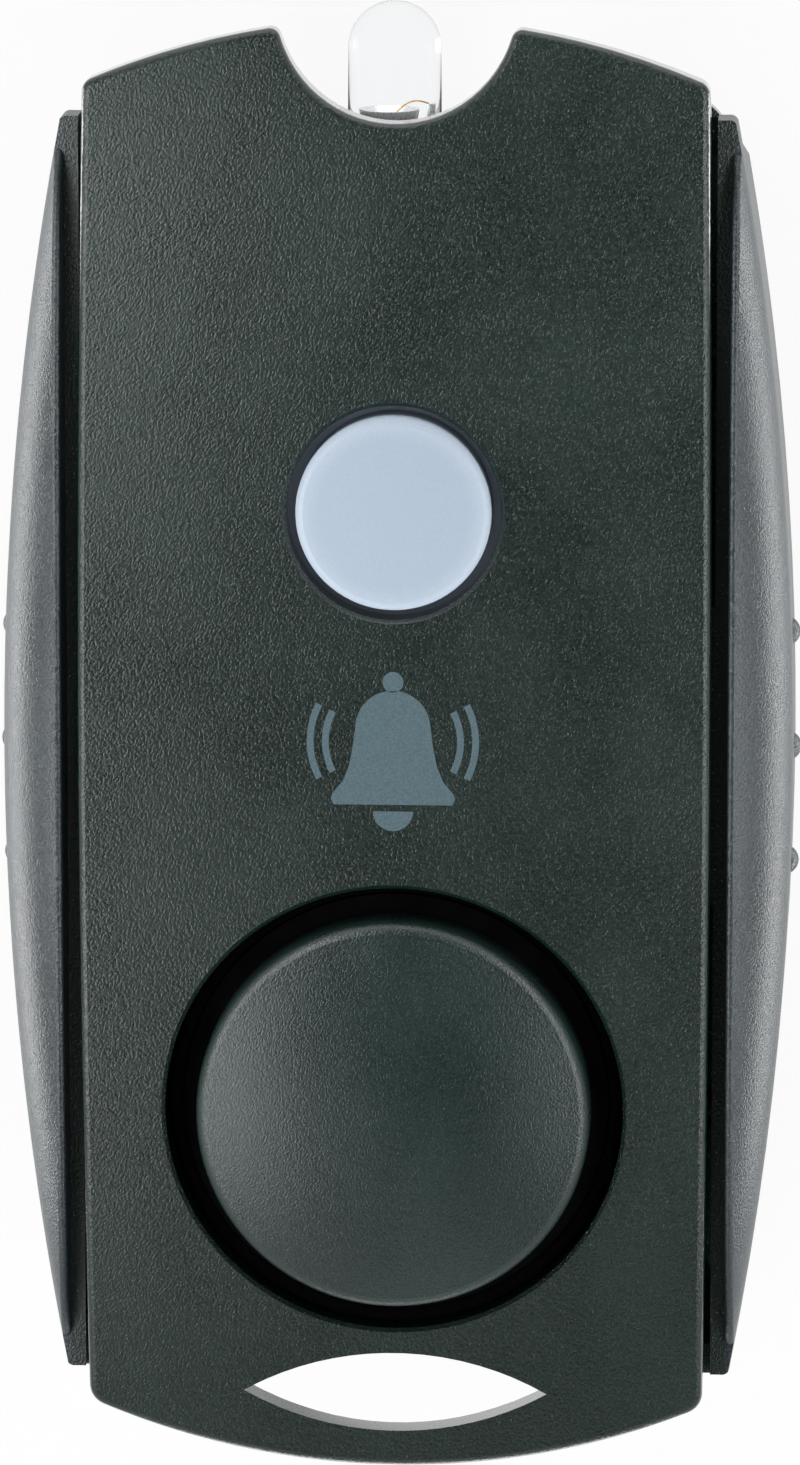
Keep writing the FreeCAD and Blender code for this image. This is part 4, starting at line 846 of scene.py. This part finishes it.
class ALARM_OT_fixings(AlarmOperator, bpy.types.Operator):
    """Finish the case screws and build the return springs of the keys"""

    bl_idname = "alarm.fixings"
    bl_label = "Screws and springs"

    def make(self, alarm):
        black = brushed("blackened_screws", paint(44, 44, 46), 0.35, (0.05 * MM, 0.05 * MM, 0.3 * MM))
        dress("case_screws", black)
        wire = brushed("spring_wire", paint(196, 196, 194), 0.25, (0.3 * MM, 0.03 * MM, 0.03 * MM))
        for key in ("left_key", "right_key"):
            self.make_springs(alarm.coils, key, wire)

    def make_springs(self, coils, key, material):
        """Two open coils with flat ends between the case and a key."""
        wire = coils.spring_wire / 2
        turns = coils.spring_turns
        per_turn = 48
        flat_turns = 0.4
        low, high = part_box(key + "_springs")
        centre = (low + high) / 2
        coil = (high.z - low.z) / 2 - wire
        long = high.x - low.x
        bm = bmesh.new()
        for place in (low.y + coil + wire, high.y - coil - wire):
            points = []
            for step in range(int(turns * per_turn) + 1):
                turned = step / per_turn
                along = min(max((turned - flat_turns) / (turns - 2 * flat_turns), 0), 1)
                turn = math.tau * turned
                points.append((low.x + wire + along * (long - 2 * wire),
                               place + coil * math.cos(turn), centre.z + coil * math.sin(turn)))
            tube(bm, points, wire)
        item = piece(key + "_coils", bm, "case", material, (key + "_springs",), smooth=80)
        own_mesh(item)


class ALARM_OT_stage(AlarmOperator, bpy.types.Operator):
    """Set up the floor, the white room, the lamps and the camera"""

    bl_idname = "alarm.stage"
    bl_label = "Stage"

    def make(self, alarm):
        stage = alarm.stage
        scene = bpy.context.scene
        scene.view_settings.view_transform = "Standard"
        self.make_floor(stage)
        self.make_room(stage)
        self.make_lamps(stage)
        self.make_camera(stage)

    def shown(self, r):
        """1 for what the camera sees, straight or in a reflection or through glass."""
        camera, glossy, through = (r.add("LightPath", output=name) for name in
                                   ("Is Camera Ray", "Is Glossy Ray", "Is Transmission Ray"))
        return camera.larger(glossy).larger(through)

    def make_floor(self, stage):
        bm = bmesh.new()
        bmesh.ops.create_grid(bm, x_segments=2, y_segments=2, size=3.0)
        mesh = bpy.data.meshes.new("floor")
        bm.to_mesh(mesh)
        bm.free()
        floor = bpy.data.objects.new("floor", mesh)
        floor.location.z = -FLOOR_DROP
        bpy.context.scene.collection.objects.link(floor)
        r = new_recipe("white_paper")
        fibre = r.noise(r.stretch(r.place(), 2 * MM, 2 * MM, 2 * MM), detail=3.0)
        paper = r.add("BsdfDiffuse", None, {"Color": r.grey(r.spread(fibre, 0.86, 0.9))})
        white = r.add("Emission", None, {"Color": (1, 1, 1, 1), "Strength": stage.floor_level})
        top = r.add("MixShader", None, {0: self.shown(r) * (1 - stage.shadow), 1: paper, 2: white})
        below = r.add("BsdfTransparent")
        back = r.add("NewGeometry", output="Backfacing")
        r.add("OutputMaterial", None, {"Surface": r.add("MixShader", None, {0: back, 1: top, 2: below})})
        mesh.materials.append(r.owner)

    def make_room(self, stage):
        world = bpy.data.worlds.new("white_room")
        bpy.context.scene.world = world
        r = Recipe(world)
        direction = r.add("TexCoord", output="Generated")
        lean = Vector((0.1, 0.3, 1)).normalized()
        toward = r.add("VectorMath", {"operation": "DOT_PRODUCT"}, {0: direction, 1: lean}, "Value")
        tone = r.ramp(toward, 0.35, 0.9, 1.0, stage.overhead)
        strength = stage.room + (1 - stage.room) * self.shown(r)
        light = r.add("Background", None, {"Color": r.grey(tone), "Strength": strength})
        r.add("OutputWorld", None, {"Surface": light})

    def make_lamps(self, stage):
        for name, place, size, setting in LAMPS:
            self.make_lamp(name, place, size, getattr(stage, setting), stage.aim)

    def make_lamp(self, name, place, size, brightness, aim):
        """A soft lamp that only adds gloss, so that colours keep the level they are written at."""
        data = bpy.data.lights.new(name, "AREA")
        data.shape = "RECTANGLE"
        data.size, data.size_y = (side * MM for side in size)
        data.energy = brightness * math.pi * data.size * data.size_y
        lamp = bpy.data.objects.new(name, data)
        lamp.location = Vector(place) * MM
        lamp.rotation_mode = "QUATERNION"
        lamp.rotation_quaternion = (Vector(aim) - lamp.location).to_track_quat("-Z", "Y")
        lamp.visible_camera = False
        lamp.visible_diffuse = False
        bpy.context.scene.collection.objects.link(lamp)

    def make_camera(self, stage):
        data = bpy.data.cameras.new("camera")
        data.sensor_width = SENSOR
        data.lens = stage.focus / max(IMAGE_WIDTH, IMAGE_HEIGHT) * SENSOR
        data.clip_start, data.clip_end = 0.01, 20.0
        camera = bpy.data.objects.new("camera", data)
        back = Vector((math.sin(stage.yaw) * math.cos(stage.tilt), math.sin(stage.tilt),
                       math.cos(stage.yaw) * math.cos(stage.tilt)))
        right = Vector((0, 1, 0)).cross(back).normalized()
        up = back.cross(right)
        turn = Matrix((right, up, back)).transposed()
        camera.matrix_world = Matrix.Translation(Vector(stage.aim) + back * stage.distance) @ turn.to_4x4()
        bpy.context.scene.collection.objects.link(camera)
        bpy.context.scene.camera = camera


STEPS = (
    ALARM_OT_shell,
    ALARM_OT_keys,
    ALARM_OT_button,
    ALARM_OT_bell,
    ALARM_OT_lamp,
    ALARM_OT_siren,
    ALARM_OT_battery,
    ALARM_OT_board,
    ALARM_OT_fixings,
    ALARM_OT_stage,
)


class ALARM_PT_panel(bpy.types.Panel):
    """Lists the alarm's pieces and settings"""

    bl_idname = "ALARM_PT_panel"
    bl_label = "Panic Alarm"
    bl_space_type = "VIEW_3D"
    bl_region_type = "UI"
    bl_category = "Alarm"

    def draw(self, context):
        alarm = context.scene.alarm
        for step in STEPS:
            self.layout.operator(step.bl_idname)
        for group in (alarm.finish, alarm.lamp, alarm.bell, alarm.coils, alarm.stage):
            box = self.layout.box()
            for name in group.__annotations__:
                box.prop(group, name)


CLASSES = (ShellFinish, LampShape, BellPrint, Coils, StageSetup, AlarmSettings, *STEPS, ALARM_PT_panel)


def register():
    for item in CLASSES:
        bpy.utils.register_class(item)
    bpy.types.Scene.alarm = PointerProperty(type=AlarmSettings)


def unregister():
    del bpy.types.Scene.alarm
    for item in reversed(CLASSES):
        bpy.utils.unregister_class(item)


def main():
    register()
    for step in STEPS:
        group, name = step.bl_idname.split(".")
        getattr(getattr(bpy.ops, group), name)()


if __name__ == "__main__":
    main()
